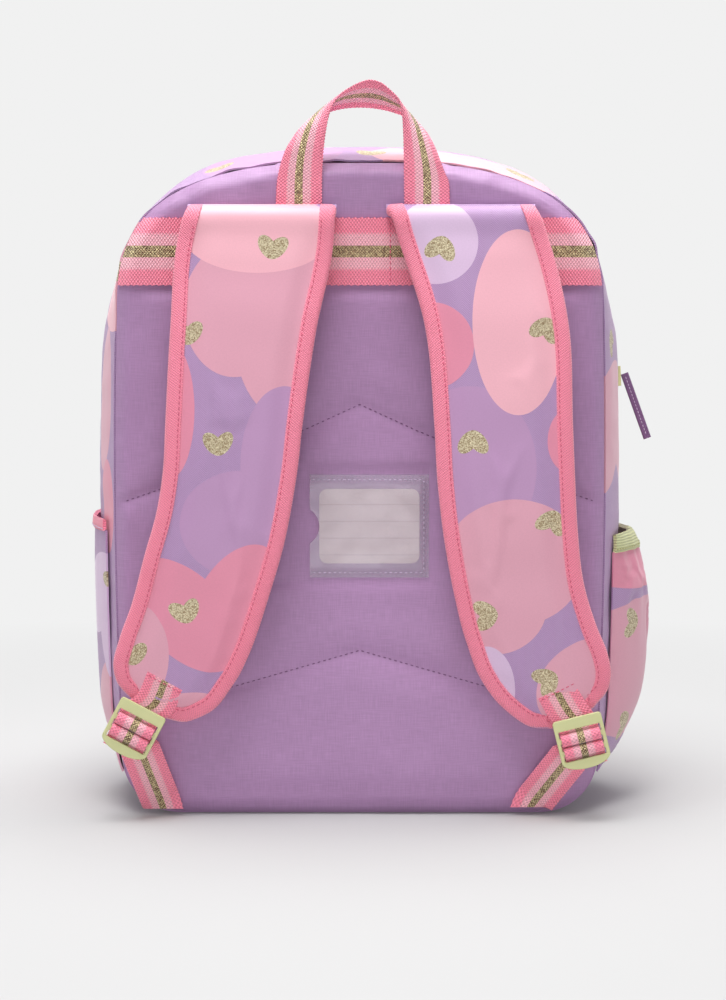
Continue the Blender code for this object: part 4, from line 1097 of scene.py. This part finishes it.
def main_zip(mats):
    ends = (SPLIT + 0.001, BODY.length - SPLIT - 0.001)
    sides = (("zip_rear", "main_zip_tape_rear", -1, "bag"), ("zip_front", "main_zip_tape_front", 1, "lid"))
    for name, node, side, body in sides:
        far = ZIP_Y + side * COIL_GAP / 2
        pieces = zip_side(name, BODY, *ends, far + side * TAPE, far, zip_bulge, mats)
        tape, coil = pieces
        on_bag_or_lid(tape, body, node)
        on_bag_or_lid(coil, body, ())


def front_panel(mats):
    """One printed panel in place of the lower and upper front panels."""
    x, z = face_rows(half_width, BASE, PANEL_TOP, SHOULDER_Z, 150, 100)
    y = rolled_depth(BODY, x, z, HALF_DEPTH + RIM, ROLL_DEPTH, FRONT_ROLL)
    grid = np.stack([x, y, z], -1)
    edge = BODY.inside(x, z)
    free = smooth(1.2 - behind_pocket_wall(x, z))
    held = np.maximum(np.clip(1.3 - edge / 0.006, 0, 1), 1 - free)
    grid = settle(grid, held, 1.6, 0.010, 0.004)
    grid[..., 1] += 0.0012 * ripple(grid, 0.05, 7) * smooth(edge / 0.02) * free
    piece = cloth("front_panel", grid, np.stack([x, z], -1), mats["print"])
    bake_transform(piece)
    in_place(piece, ("front_panel_lower", "front_panel_upper"))


def behind_pocket_wall(x, z):
    return ((np.abs(x) < POCKET_HALF + 0.004) & (z < POCKET_HIGH + 0.004)) * 1.0


def lining_width(z):
    return half_width(z) - 0.006


def linings(mats):
    """The inside: gusset lining, lid and back linings, and the padded divider sleeve."""
    across = np.linspace(-0.066, 0.066, 30)
    grid, uv = strip(BODY, -SPLIT, SPLIT, across, -0.0012, bulge, 0.005)
    grid -= normals_of(grid, MIDDLE) * (0.0012 * (1 + ripple(grid, 0.03, 8)))[..., None]
    lining = cloth("gusset_lining", grid, uv, mats["lining"], 0.0007)
    on_body(lining, "bag", "body_lining")
    for name, node, body, low, high in (("back_lining", "back_panel_lining", "bag", 0.008, 0.402),
                                        ("lid_inner", "lid_lining", "lid", SPLIT_Z + 0.004, 0.400)):
        corner_low, corner_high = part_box(node)
        x, z = face_rows(lining_width, low, high, max(low + 0.05, SHOULDER_Z), 60, 60)
        middle = (corner_low.y + corner_high.y) / 2
        sign = 1 if body == "bag" else -1
        y = middle + sign * 0.0008 * (1 + ripple(np.stack([x, x * 0, z], -1), 0.05, 9))
        piece = upright(name, x, y, z, mats["lining"], 0.0005)
        on_bag_or_lid(piece, body, node)
    divider(mats)


def divider(mats):
    """The padded sleeve inside the back, with its elastic hem."""
    low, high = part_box("divider_sleeve")
    top_low, top_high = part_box("divider_elastic")
    x, z = np.meshgrid(np.linspace(low.x, high.x, 60), np.linspace(low.z, high.z, 50))
    y = (low.y + high.y) / 2 + 0.0012 * ripple(np.stack([x, x * 0, z], -1), 0.06, 10)
    sleeve = upright("sleeve", x, y, z, mats["lining"], 0.0010)
    on_body(sleeve, "bag", "divider_sleeve")
    x, z = np.meshgrid(np.linspace(low.x, high.x, 160), np.linspace(top_low.z, top_high.z, 10))
    y = (low.y + high.y) / 2 + 0.0004 * np.sin(x / 0.0035 * math.tau)
    hem = upright("sleeve_elastic", x, y - 0.001, z, mats["tape"], 0.0018)
    on_body(hem, "bag", "divider_elastic")


# ---------------------------------------------------------------- sliders and pullers

def folded_tape(name, start, end, across, thick, mats, body, node):
    """A puller: a folded tape hanging from start to end, with pale stitches along its middle that stand in
    for its light centre line, a painted highlight.
    """
    start, end, across = np.array(start), np.array(end), unit(np.array(across, float))
    along = unit(end - start)
    depth = np.cross(along, across)
    length = np.linalg.norm(end - start)
    s = np.linspace(0, 1, 24)
    angles = np.linspace(0, math.tau, 16, endpoint=False)
    groove = 1 - 0.55 * np.exp(-(np.cos(angles) / 0.25) ** 2)
    rings = (start + along * (s * length)[:, None])[:, None] + (
        across * (np.sign(np.cos(angles)) * np.abs(np.cos(angles)) ** 0.7)[None, :, None] * 0.0026
        + depth * (np.sin(angles) * groove * thick / 2)[None, :, None])
    uv = np.stack(np.broadcast_arrays((angles * 0.002)[None], (s * length)[:, None]), -1)
    piece = tube(name, rings, uv, mats["puller"])
    on_body(piece, body, node)
    # Pale stitches down the middle: a painted highlight along the puller, drawn as thread
    line = start + along * (s[1:-1] * length)[:, None] + np.array((0, -0.25 * thick, 0))
    seam = stitches(f"{name}_stitching", line, facing(len(line)),
                    mats["pale_thread"], 0.0024, 0.0019, 0.0003)
    on_body(seam, body)


def zip_hardware(mats):
    across = np.array((math.cos(PULLER_LEAN), 0, math.sin(PULLER_LEAN)))
    low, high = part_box("main_puller")
    y = (low.y + high.y) / 2
    half = 0.0024 * across
    top, tip = np.array((low.x, y, high.z)), np.array((high.x, y, low.z))
    top = top + np.array((half[0], 0, -half[2]))
    tip = tip + np.array((-half[0], 0, half[2]))
    folded_tape("puller_main", top, tip, across, 0.0019, mats, "main_puller", "main_puller")
    low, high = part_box("pocket_puller")
    y, z = (low.y + high.y) / 2, (low.z + high.z) / 2
    folded_tape("puller_pocket", (low.x, y, z), (high.x, y, z), (0, 0, 1), 0.0017, mats,
                "pocket_puller", "pocket_puller")
    for node in ("main_slider", "pocket_slider"):
        carry(node, mats["metal"], 0.0004)


def carry(node, material, bevel=0.0):
    """A CAD node that stays, with a better material and softened edges."""
    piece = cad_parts[node]
    piece.data.materials.clear()
    piece.data.materials.append(material)
    if bevel:
        softened = piece.modifiers.new("edges", "BEVEL")
        softened.width = bevel
        softened.segments = 3
        softened.harden_normals = False


# ---------------------------------------------------------------- pockets

def front_pocket(mats):
    rear = HALF_DEPTH + RIM + ROLL_DEPTH + GAP
    strip_end = rear + POCKET_STRIP
    zip_y = strip_end + GAP + TAPE + COIL_GAP / 2
    front = zip_y + COIL_GAP / 2 + TAPE
    turn = POCKET.where(POCKET_ZIP_END)
    grid, uv = strip(POCKET, -turn, turn, np.linspace(rear, front, 14), FABRIC)
    grid += normals_of(grid, POCKET_MIDDLE) * (0.0009 * ripple(grid, 0.025, 11))[..., None]
    sides = cloth("pocket_sides", grid, uv, mats["print"], away_from=POCKET_MIDDLE)
    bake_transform(sides)
    in_place(sides, "pocket_gusset")
    ends = (turn + 0.0005, POCKET.length - turn - 0.0005)
    grid, uv = strip(POCKET, *ends, np.linspace(rear, strip_end, 6), FABRIC)
    band = cloth("pocket_strip", grid, uv, mats["print"], away_from=POCKET_MIDDLE)
    on_body(band, "bag", "pocket_rear_strip")
    for name, node, side, body in (("pocket_zip_rear", "pocket_zip_tape_rear", -1, "bag"),
                                   ("pocket_zip_front", "pocket_zip_tape_front", 1, "pocket_wall")):
        far = zip_y + side * COIL_GAP / 2
        pieces = zip_side(name, POCKET, *ends, far + side * TAPE, far, None, mats)
        for piece in pieces:
            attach(piece, body)
        in_place(pieces[0], node)
    pocket_face(front, mats)


def pocket_width(z):
    low_radius, high_radius = POCKET_CORNERS
    drop = np.clip(POCKET_LOW + low_radius - z, 0, low_radius)
    rise = np.clip(z - POCKET_HIGH + high_radius, 0, high_radius)
    low = POCKET_HALF - low_radius + np.sqrt(low_radius ** 2 - drop ** 2)
    high = POCKET_HALF - high_radius + np.sqrt(high_radius ** 2 - rise ** 2)
    return np.minimum(low, high)


def pocket_face(front, mats):
    x, z = face_rows(pocket_width, POCKET_LOW + 0.0004, POCKET_HIGH - 0.0004, POCKET_ZIP_END, 90, 90)
    edge_y = front + GAP + 0.001
    y = rolled_depth(POCKET, x, z, edge_y, POCKET_SWELL, POCKET_ROLL)
    grid = np.stack([x, y, z], -1)
    edge = POCKET.inside(x, z)
    grid = settle(grid, np.clip(1.3 - edge / 0.005, 0, 1), 1.5, 0.012, 0.005, POCKET_MIDDLE)
    grid[..., 1] += 0.0012 * ripple(grid, 0.04, 12) * smooth(edge / 0.02)
    piece = cloth("pocket_panel", grid, np.stack([x, z], -1), mats["print"], away_from=POCKET_MIDDLE)
    on_body(piece, "pocket_wall", "pocket_front")
    path, _ = POCKET.at(np.linspace(0, POCKET.length, 200))
    inset = (path - np.array((0, 0, 0.12))) * 0.955 + np.array((0, 0, 0.12))
    inset[:, 1] = [y + 0.0001 for y in surface_y(grid, inset[:, 0], inset[:, 2])]
    seam = stitches("pocket_stitching", inset, facing(200, 1.0), mats["purple_thread"])
    on_body(seam, "pocket_wall")


def side_pocket_grid(side, low, high, rows, extra):
    """Outer face of a side pocket between two heights: it swells and gathers under its edging."""
    spec = SIDE_POCKETS[side]
    sign = 1 if side == "right" else -1
    top = spec["top"] + spec["edging"]
    z, y = np.meshgrid(np.linspace(low, high, rows), np.linspace(-1, 1, 90) * SIDE_POCKET_HALF, indexing="ij")
    share = (z - SIDE_POCKET_FOOT) / (top - SIDE_POCKET_FOOT)
    hump = np.clip(np.sin(math.pi * np.clip(share, 0, 1) ** 0.9), 0, 1) ** 0.6
    reach = spec["swell"] * hump + spec["mouth"] * smooth(share)
    across = y / SIDE_POCKET_HALF
    crown = np.clip(1 - across ** 2, 0, 1) ** 0.8
    gather = smooth((z - 0.085) / (spec["top"] - 0.085)) * crown
    folds = np.sin(9 * across + 1.5 * np.sin(4 * across)) + 0.6 * np.sin(21 * across + 0.7)
    x = half_width(z) + bulge(z, y) + FABRIC + 4 * GAP + reach * crown + extra
    x = x + spec["folds"] * folds * gather * (1 - 0.5 * smooth((z - spec["top"]) / 0.006))
    grid = np.stack([sign * x, y, z], -1)
    grid[..., 0] += sign * 0.0012 * ripple(grid, 0.03, 13) * crown * (spec["swell"] / 0.017)
    return grid, np.stack([y * sign, z], -1)


def side_pockets(mats):
    for side, spec in SIDE_POCKETS.items():
        inside = (0.1 if side == "right" else -0.1, 0, 0.1)
        grid, uv = side_pocket_grid(side, SIDE_POCKET_FOOT, spec["top"] + 0.0004, 70, FABRIC)
        held = np.clip(1.3 - (SIDE_POCKET_HALF - np.abs(grid[..., 1])) / 0.005, 0, 1)
        held = np.maximum(held, np.clip(1.3 - np.minimum(grid[..., 2] - SIDE_POCKET_FOOT,
                                                         spec["top"] - grid[..., 2]) / 0.004, 0, 1))
        if side == "right":
            grid = settle(grid, held, 1.0, 0.02, 0.003, inside)
        printed = mats["pocket_print" if side == "right" else "print"]
        pocket = cloth(f"pocket_{side}", grid, uv, printed, away_from=inside)
        on_body(pocket, "bag", f"side_pocket_{side}")
        hem, uv = side_pocket_grid(side, spec["top"], spec["top"] + spec["edging"], 22, 2 * FABRIC)
        roll = np.sin(np.linspace(0, math.pi, 22)) ** 0.4
        hem[..., 0] += math.copysign(1, inside[0]) * 0.0006 * roll[:, None]
        material = "elastic" if side == "right" else "binding"
        edging = cloth(f"edging_{side}", hem, uv, mats[material], 2 * FABRIC, inside)
        on_body(edging, "bag", f"side_pocket_edging_{side}")
        outward = normals_of(hem, inside)
        seam = stitches(f"edging_stitching_{side}", hem[4] + outward[4] * 0.0001, outward[4],
                        mats["pale_thread" if side == "left" else "lime_thread"])
        on_body(seam, "bag")


# ---------------------------------------------------------------- webbing

def ribbon(name, centres, widths, material, thickness=WEBBING, square=True, half=HALF_WEBBING):
    """Woven tape through the centres, its edges scalloped by the picks of the weave."""
    centres = np.array(centres, float)
    widths = unit(np.array(widths, float))
    run = spline(np.concatenate([centres, widths], axis=1), PICK / 2)
    path, across = run[:, :3], unit(run[:, 3:])
    along = unit(np.gradient(path, axis=0))
    if square:
        across = unit(across - along * np.sum(across * along, axis=1, keepdims=True))
    normal = unit(np.cross(along, across))
    marks = lengths(path)
    profile = [(-1, 0), (-0.985, 0.7), (-0.94, 1), (-0.6, 1), (-0.2, 1), (0.2, 1), (0.6, 1), (0.94, 1),
               (0.985, 0.7), (1, 0), (0.985, -0.7), (0.94, -1), (0.6, -1), (0.2, -1), (-0.2, -1),
               (-0.6, -1), (-0.94, -1), (-0.985, -0.7)]
    side, height = np.array(profile).T
    scallop = 1 + 0.018 * np.cos(np.arange(len(path)) * math.pi)
    reach = side[None] * half * np.where(np.abs(side) > 0.9, scallop[:, None], 1.0)
    rings = path[:, None] + across[:, None] * reach[..., None] + normal[:, None] * (
        height * thickness / 2)[None, :, None]
    uv = np.stack(np.broadcast_arrays(side[None] * half, marks[:, None]), -1)
    return tube(name, rings, uv, material)


def handle(mats):
    """Webbing that turns over softly at both ends of the grip: a curved sheet with two faces."""
    run = spline(np.array(HANDLE_STATIONS).reshape(-1, 9) / 1000, PICK / 2)
    front, middle, rear = run[:, None, :3], run[:, None, 3:6], run[:, None, 6:]
    t = np.linspace(-1, 1, 15)
    t[0], t[-1] = -0.985, 0.985
    scallop = 1 + 0.016 * np.cos(np.arange(len(run)) * math.pi)[:, None] * (np.abs(t) > 0.9)
    u = (t[None] * scallop)[..., None]
    sheet = front * u * (u - 1) / 2 + middle * (1 - u ** 2) + rear * u * (u + 1) / 2
    normal = unit(np.cross(np.gradient(sheet, axis=0), np.gradient(sheet, axis=1)))
    edge = np.where(np.abs(t) > 0.98, 0.35, 1.0)[None, :, None]
    faces = [sheet + normal * edge * WEBBING / 2, (sheet - normal * edge * WEBBING / 2)[:, ::-1]]
    marks = lengths(middle[:, 0])
    across = np.concatenate([t, t[::-1]]) * HALF_HANDLE
    uv = np.stack(np.broadcast_arrays(across[None], marks[:, None]), -1)
    grip = tube("handle_grip", np.concatenate(faces, axis=1), uv, mats["handle"])
    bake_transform(grip)
    in_place(grip, ("grab_handle", "handle_end_left", "handle_end_right"))


# ---------------------------------------------------------------- shoulder straps

def strap_rows(side):
    """Outer and inner edge of a strap's middle surface, from hinge to tip, as (n, 6)."""
    pairs = STRAP_EDGES[side]
    top_x = STRAP_TOP_X[side]
    rows = [[*(p for x in top_x for p in (x, STRAP_TOP_Y + STRAP_BEND + 0.0006, STRAP_HINGE[1]))]]
    for degrees, spread in ((0, 0.0), (30, 0.1), (60, 0.3), (90, 0.5)):
        y = STRAP_TOP_Y + STRAP_BEND * (1 - math.sin(math.radians(degrees)))
        z = STRAP_HINGE[1] - STRAP_BEND * (1 - math.cos(math.radians(degrees)))
        xs = [x + (edge[0] - x) * spread for x, edge in zip(top_x, pairs[0])]
        rows.append([*(p for x in xs for p in (x, y, z))])
    for outer, inner in pairs:
        share = min(1.0, max(0.0, (0.365 - (outer[1] + inner[1]) / 2) / (0.365 - 0.0705)))
        y = STRAP_TOP_Y + (STRAP_TIP_Y - STRAP_TOP_Y) * share - STRAP_BOW * math.sin(math.pi * share)
        rows.append([outer[0], y, outer[1], inner[0], y, inner[1]])
    return spline(rows, 0.0028)


def strap_frame(side):
    """(rows, unit vectors across, outward normals) of a strap's middle surface."""
    rows = strap_rows(side)
    outer, inner = rows[:, :3], rows[:, 3:]
    across = unit(inner - outer)
    along = unit(np.gradient((outer + inner) / 2, axis=0))
    normal = unit(np.cross(along, across))
    if normal[len(normal) // 2, 1] > 0:
        normal = -normal
    return outer, inner, across, normal


def strap_face(side, inset, height, crown, columns=44):
    """A face of the strap's pad: (grid, uv) between its bindings."""
    outer, inner, across, normal = strap_frame(side)
    width = np.linalg.norm(inner - outer, axis=1)
    t = np.linspace(0, 1, columns)
    edge = np.minimum(inset, width * 0.3)
    offset = edge[:, None] + (width - 2 * edge)[:, None] * t[None]
    inward = np.minimum(t, 1 - t)[None] * (width - 2 * edge)[:, None]
    down = np.cumsum(np.linalg.norm(np.diff((outer + inner) / 2, axis=0, prepend=(outer + inner)[:1] / 2),
                                    axis=1))
    swell = smooth((inward - (BINDING_ARM - inset)) / 0.014) * smooth((down - 0.008) / 0.03)[:, None]
    grid = outer[:, None] + across[:, None] * offset[..., None]
    grid = grid + normal[:, None] * (height + crown * swell)[..., None]
    return grid, grid[..., [0, 2]].copy(), inward


def strap_edge(side):
    """The strap's edge from the outer top, round the tip, to the inner top: points, inward, outward."""
    outer, inner, across, normal = strap_frame(side)
    points = np.concatenate([outer, inner[::-1]])
    outward = np.concatenate([normal, normal[::-1]])
    partner = np.concatenate([inner, outer[::-1]])
    along = unit(np.gradient(points, axis=0))
    inward = unit(np.cross(outward, along))
    flip = np.sum(inward * (partner - points), axis=1) < 0
    inward[flip] = -inward[flip]
    return points, inward, outward


def strap_binding(side, mats):
    """Grosgrain folded over the strap's edge, with its row of stitches."""
    points, inward, outward = strap_edge(side)
    profile = [(BINDING_ARM, 0.0028), (BINDING_ARM - 0.0004, BINDING_FACE - 0.0001),
               (0.0070, BINDING_FACE), (0.0030, BINDING_FACE - 0.0001), (0.0010, 0.0031), (0.0, 0.0012),
               (0.0, -0.0012), (0.0010, -0.0031), (0.0030, -BINDING_FACE), (BINDING_ARM, -BINDING_FACE),
               (BINDING_ARM, -0.0034), (0.0032, -0.0032), (0.0014, 0.0), (0.0032, 0.0026)]
    arms, heights = np.array(profile).T
    rings = (points[:, None] + inward[:, None] * arms[None, :, None]
             + outward[:, None] * heights[None, :, None])
    marks = lengths(points)
    uv = np.stack(np.broadcast_arrays(arms[None], marks[:, None]), -1)
    binding = tube(f"binding_{side}", rings, uv, mats["binding"])
    on_body(binding, f"strap_{side}", f"strap_binding_{side}")
    line = points + inward * 0.0082 + outward * (BINDING_FACE + 0.0001)
    seam = stitches(f"binding_stitching_{side}", line[4:-4], outward[4:-4], mats["pink_thread"])
    on_body(seam, f"strap_{side}")


def strap_pad(side, mats):
    grid, uv, inward = strap_face(side, 0.0012, STRAP_COVER, STRAP_CROWN)
    body = f"strap_{side}"
    centre = grid.mean(axis=(0, 1)) + np.array((0, 0.5, 0))
    held = np.clip(1.3 - inward / 0.009, 0, 1)
    held[:4] = 1
    grid = settle(grid, held, 1.4, 0.004, 0.0012, centre)
    grid[..., 1] -= 0.0006 * ripple(grid, 0.03, 14) * smooth((inward - 0.01) / 0.012)
    pad = cloth(f"pad_{side}", grid, uv, mats[f"print_{side}"], 0.0007, centre)
    on_body(pad, body, f"strap_cover_{side}")
    low, uv, _ = strap_face(side, 0.0012, -STRAP_COVER, 0.0, 30)
    back = cloth(f"pad_back_{side}", low, uv, mats["mesh"], 0.0006, centre - np.array((0, 1.0, 0)))
    on_body(back, body, f"strap_mesh_{side}")


def strap_anchor(side, mats):
    """Roll of fabric in which the strap is sewn to the back panel."""
    low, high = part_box(f"strap_anchor_{side}")
    angles = np.linspace(0, math.tau, 12, endpoint=False)
    rings = np.stack(np.broadcast_arrays(
        np.linspace(low.x, high.x, 40)[:, None],
        ((low.y + high.y) / 2 + np.cos(angles) * (high.y - low.y) / 2)[None],
        ((low.z + high.z) / 2 + np.sin(angles) * (high.z - low.z) / 2)[None]), -1)
    anchor = tube(f"anchor_{side}", rings, rings[..., [0, 2]], mats[f"print_{side}"])
    on_body(anchor, "bag", f"strap_anchor_{side}")


# ---------------------------------------------------------------- buckles and their webbing

def buckle_axes(side):
    spec = BUCKLES[side]
    up = np.array((math.sin(spec["lean"]), 0, math.cos(spec["lean"])))
    across = np.array((math.cos(spec["lean"]), 0, -math.sin(spec["lean"])))
    return np.array(spec["centre"]), up, across, np.array((0.0, -1.0, 0.0))


def flat_loop(curve, points):
    line = curve.splines.new("POLY")
    line.points.add(len(points) - 1)
    for point, (x, y) in zip(line.points, points):
        point.co = (x, y, 0, 1)
    line.use_cyclic_u = True


def rounded(low, high, left, right, radius):
    corners = (((right - radius, low + radius), -90), ((right - radius, high - radius), 0),
               ((left + radius, high - radius), 90), ((left + radius, low + radius), 180))
    return [p for centre, start in corners for p in arc(centre, radius, start, start + 90, 4)]


def buckle(side, mats):
    """Ladder lock moulded in one piece, with a rounded tab and soft edges."""
    curve = bpy.data.curves.new("buckle", "CURVE")
    curve.dimensions = "2D"
    curve.fill_mode = "BOTH"
    curve.bevel_depth = 0.0005
    curve.bevel_resolution = 3
    curve.extrude = BUCKLE_DEPTH / 2 - 0.0005
    curve.offset = -0.0005
    tab = [(BUCKLE_HALF * math.cos(a), -0.0105 + (BUCKLE_TAB + 0.0105) * -math.sin(a))
           for a in np.radians(np.linspace(180, 360, 25))]
    flat_loop(curve, tab + rounded(-0.01, BUCKLE_TOP, -BUCKLE_HALF, BUCKLE_HALF, 0.002)[5:15])
    for low, high in BUCKLE_SLOTS:
        flat_loop(curve, rounded(low, high, -SLOT_HALF, SLOT_HALF, 0.0007))
    draft = bpy.data.objects.new("buckle_draft", curve)
    bpy.context.collection.objects.link(draft)
    made = bpy.data.meshes.new_from_object(draft.evaluated_get(bpy.context.evaluated_depsgraph_get()))
    bpy.data.objects.remove(draft)
    centre, up, across, out = buckle_axes(side)
    flat = np.array([v.co for v in made.vertices])
    points = (centre + flat[:, :1] * across + flat[:, 1:2] * up
              + (flat[:, 2:] + BUCKLE_DEPTH / 2) * out)
    faces = [tuple(p.vertices) for p in made.polygons]
    piece = make_mesh(f"ladder_lock_{side}", points, faces, flat[:, :2], mats["lime"])
    face_out(piece)
    on_body(piece, f"buckle_{side}", f"buckle_{side}")


def buckle_loop(side, mats):
    """Webbing sewn on the strap's tip and folded round the buckle's first bar."""
    centre, up, across, out = buckle_axes(side)
    loop = [(0.012, -0.0040), (0.0088, -0.0029), (0.0068, -0.0012), (0.0062, 0.0010), (0.0055, 0.0030),
            (0.0030, 0.0043), (0.0005, 0.0030), (-0.0004, 0.0008), (0.0002, -0.0018),
            (0.0022, -0.0040), (0.0055, -0.0054), (0.0105, -0.0061)]
    outer, inner, _, normal = strap_frame(side)
    tip = (outer[-1] + inner[-1]) / 2 + normal[-1] * (BINDING_FACE + GAP + WEBBING / 2)
    upper = np.array((outer[-9] + inner[-9]) / 2 + normal[-1] * (BINDING_FACE + GAP + WEBBING / 2))
    tip_across = unit(inner[-1] - outer[-1])
    if tip_across @ across < 0:
        tip_across = -tip_across
    upper = tip + unit(upper - tip) * 0.022
    centres = [upper, tip + (upper - tip) * 0.15] + [centre + up * u + out * w for u, w in loop]
    widths = [tip_across, tip_across * 0.7 + across * 0.3] + [across] * len(loop)
    piece = ribbon(f"buckle_loop_{side}", centres, widths, mats["webbing"], square=False)
    on_body(piece, f"strap_{side}", f"buckle_webbing_{side}")
    share = np.linspace(-0.92, 0.92, 12)[:, None] * HALF_WEBBING
    down = unit(tip - upper)
    line = upper + tip_across * share + down * 0.0018 + normal[-1] * (WEBBING / 2 + 0.0001)
    seam = stitches(f"loop_stitching_{side}", line, np.tile(normal[-1], (12, 1)), mats["pink_thread"])
    on_body(seam, f"strap_{side}")


def adjuster(side, mats):
    """Lower webbing: its run up from the bottom seam, and the part threaded through the buckle."""
    centre, up, across, out = buckle_axes(side)
    foot_x, foot_z = BUCKLES[side]["foot"]
    foot = np.array((foot_x, -0.0778, foot_z))
    rise = unit(np.array((centre[0] - foot[0], 0, centre[2] - foot[2])))
    flat = np.array((rise[2], 0, -rise[0]))
    behind = [centre - rise * 0.014 - out * 0.0054, centre - rise * 0.007 - out * 0.0050]
    weave = [(-0.0028, -0.0030), (-0.0022, -0.0006), (-0.00215, 0.00125), (-0.0023, 0.0026),
             (-0.0036, 0.0036), (-0.0063, 0.0036), (-0.0076, 0.0029), (-0.0081, 0.0018),
             (-0.0086, 0.00035), (-0.0103, -0.00105), (-0.0125, -0.0014), (-0.0160, -0.0014)]
    start = foot + rise * 0.006 - np.array((0, 0.0010, 0))
    run = [foot, start] + [start + (behind[0] - start) * t for t in (0.2, 0.4, 0.6, 0.8)] + behind
    widths = [np.array((1, 0, 0))] + [flat] * 6 + [flat * 0.5 + across * 0.5]
    lower = ribbon(f"adjuster_run_{side}", run, widths, mats["webbing"], square=False)
    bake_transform(lower)
    in_place(lower, f"adjuster_webbing_{side}")
    threaded = [behind[1]] + [centre + up * u + out * w for u, w in weave]
    through = ribbon(f"adjuster_loop_{side}", threaded, [flat * 0.5 + across * 0.5] + [across] * len(weave),
                     mats["webbing"], square=False)
    on_body(through, f"buckle_{side}", ())


# ---------------------------------------------------------------- name window

def name_window(mats):
    low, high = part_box("name_window")
    notch_z = (low.z + high.z) / 2
    z = np.linspace(low.z, high.z, 60)
    bite = np.sqrt(np.clip(0.0125 ** 2 - (z - notch_z) ** 2, 0, None))
    left = low.x + np.clip(bite - 0.0065, 0, None)
    t = np.linspace(0, 1, 70)
    x = left[:, None] + (high.x - left)[:, None] * t[None]
    zz = np.broadcast_to(z[:, None], x.shape)
    border = np.minimum.reduce([(high.x - x) / 0.006, (zz - low.z) / 0.006, (high.z - zz) / 0.006])
    y = high.y - 0.0003 - 0.0014 * smooth(border)
    y = y - 0.0003 * ripple(np.stack([x, y, zz], -1), 0.012, 15)
    film_sheet = upright("window_film", x, y, zz, mats["film"], 0.0002)
    on_body(film_sheet, "bag", "name_window")
    inset = 0.0032
    corners = [(low.x + 0.001, high.z - inset), (high.x - inset, high.z - inset),
               (high.x - inset, low.z + inset), (low.x + 0.001, low.z + inset)]
    for k, ((x0, z0), (x1, z1)) in enumerate(zip(corners, corners[1:])):
        line = np.stack([np.linspace(x0, x1, 30), np.full(30, high.y - 0.0009), np.linspace(z0, z1, 30)], -1)
        seam = stitches(f"window_stitching_{k}", line, facing(30), mats["pale_thread"], 0.0032, 0.0021,
                        0.0003)
        on_body(seam, "bag")


def name_card(mats):
    card_low, card_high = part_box("name_card")
    ring = rounded(card_low.z, card_high.z, card_low.x, card_high.x, 0.005)
    rings = np.array([[(x, y, z) for x, z in ring] for y in (card_low.y, card_high.y)])
    card = tube("card", rings, rings[..., [0, 2]], mats["card"])
    on_body(card, "card", "name_card")


# ---------------------------------------------------------------- stage

def stage():
    scene = bpy.context.scene
    scene.view_settings.view_transform = "Standard"
    data = bpy.data.cameras.new("camera")
    data.lens = CAMERA_LENS
    data.clip_start = 0.05
    camera = bpy.data.objects.new("camera", data)
    camera.location = CAMERA_PLACE
    camera.rotation_euler = (math.radians(90 - CAMERA_DOWN), 0, 0)
    scene.collection.objects.link(camera)
    scene.camera = camera
    floor()
    world = bpy.data.worlds.new("studio")
    world.use_nodes = True
    background = world.node_tree.nodes["Background"]
    background.inputs["Color"].default_value = (1, 1, 1, 1)
    background.inputs["Strength"].default_value = WORLD_LIGHT
    scene.world = world
    for values in LAMPS:
        lamp(*values)
    low_card()


def lamp(name, place, size, power):
    data = bpy.data.lights.new(name, "AREA")
    data.size = size
    data.energy = power
    aim(data, place, LAMP_TARGET)


def low_card():
    """Light thrown back from in front, onto the lower half of the bag."""
    data = bpy.data.lights.new("low_card", "SPOT")
    data.shadow_soft_size = LOW_CARD_SIZE
    data.energy = LOW_CARD_POWER
    data.spot_size = LOW_CARD_SPREAD
    data.spot_blend = 1.0
    aim(data, LOW_CARD_PLACE, LOW_CARD_TARGET)


def aim(data, place, target):
    light = bpy.data.objects.new(data.name, data)
    light.location = place
    light.rotation_euler = (Vector(target) - Vector(place)).to_track_quat("-Z", "Y").to_euler()
    bpy.context.scene.collection.objects.link(light)


def floor():
    """A pale floor that curves up into an evenly lit backdrop."""
    rows = [(-4.0, 0.0), (1.5, 0.0)] + [(1.5 + 1.5 * math.sin(a), 1.5 - 1.5 * math.cos(a))
                                        for a in np.radians(np.linspace(8, 90, 12))] + [(3.0, 5.0)]
    points = [(x, y, z - 0.0002) for y, z in rows for x in (-5.0, 5.0)]
    graph = Graph("floor", 0.9, Specular_IOR_Level=0.0)
    far = graph.between(graph.vector("LENGTH", graph.uv), 0.25, 0.95)
    glow = graph.between(far, 0.0, 1.0, FLOOR_GLOW, BACKDROP)
    graph.put(graph.shader.inputs["Emission Color"], (1, 1, 1, 1))
    graph.put(graph.shader.inputs["Emission Strength"], glow)
    dull = graph.mix(far, (FLOOR_PALE,) * 3 + (1,), (0, 0, 0, 1))
    material = graph.finish(graph.shade(dull, graph.noise(3.0), 0.004))
    uv = [(x, y + z) for x, y, z in points]
    piece = make_mesh("floor", points, grid_faces(len(rows), 2), uv, material)


def main():
    stage()
    mats = make_materials()
    back_panel(mats)
    back_band(mats)
    gusset_pieces(mats)
    main_zip(mats)
    front_panel(mats)
    linings(mats)
    zip_hardware(mats)
    front_pocket(mats)
    side_pockets(mats)
    handle(mats)
    for side in ("left", "right"):
        strap_pad(side, mats)
        strap_anchor(side, mats)
        strap_binding(side, mats)
        buckle(side, mats)
        buckle_loop(side, mats)
        adjuster(side, mats)
        carry(f"strap_foam_{side}", mats["foam"])
    carry("back_panel_foam", mats["foam"])
    name_window(mats)
    name_card(mats)


main()
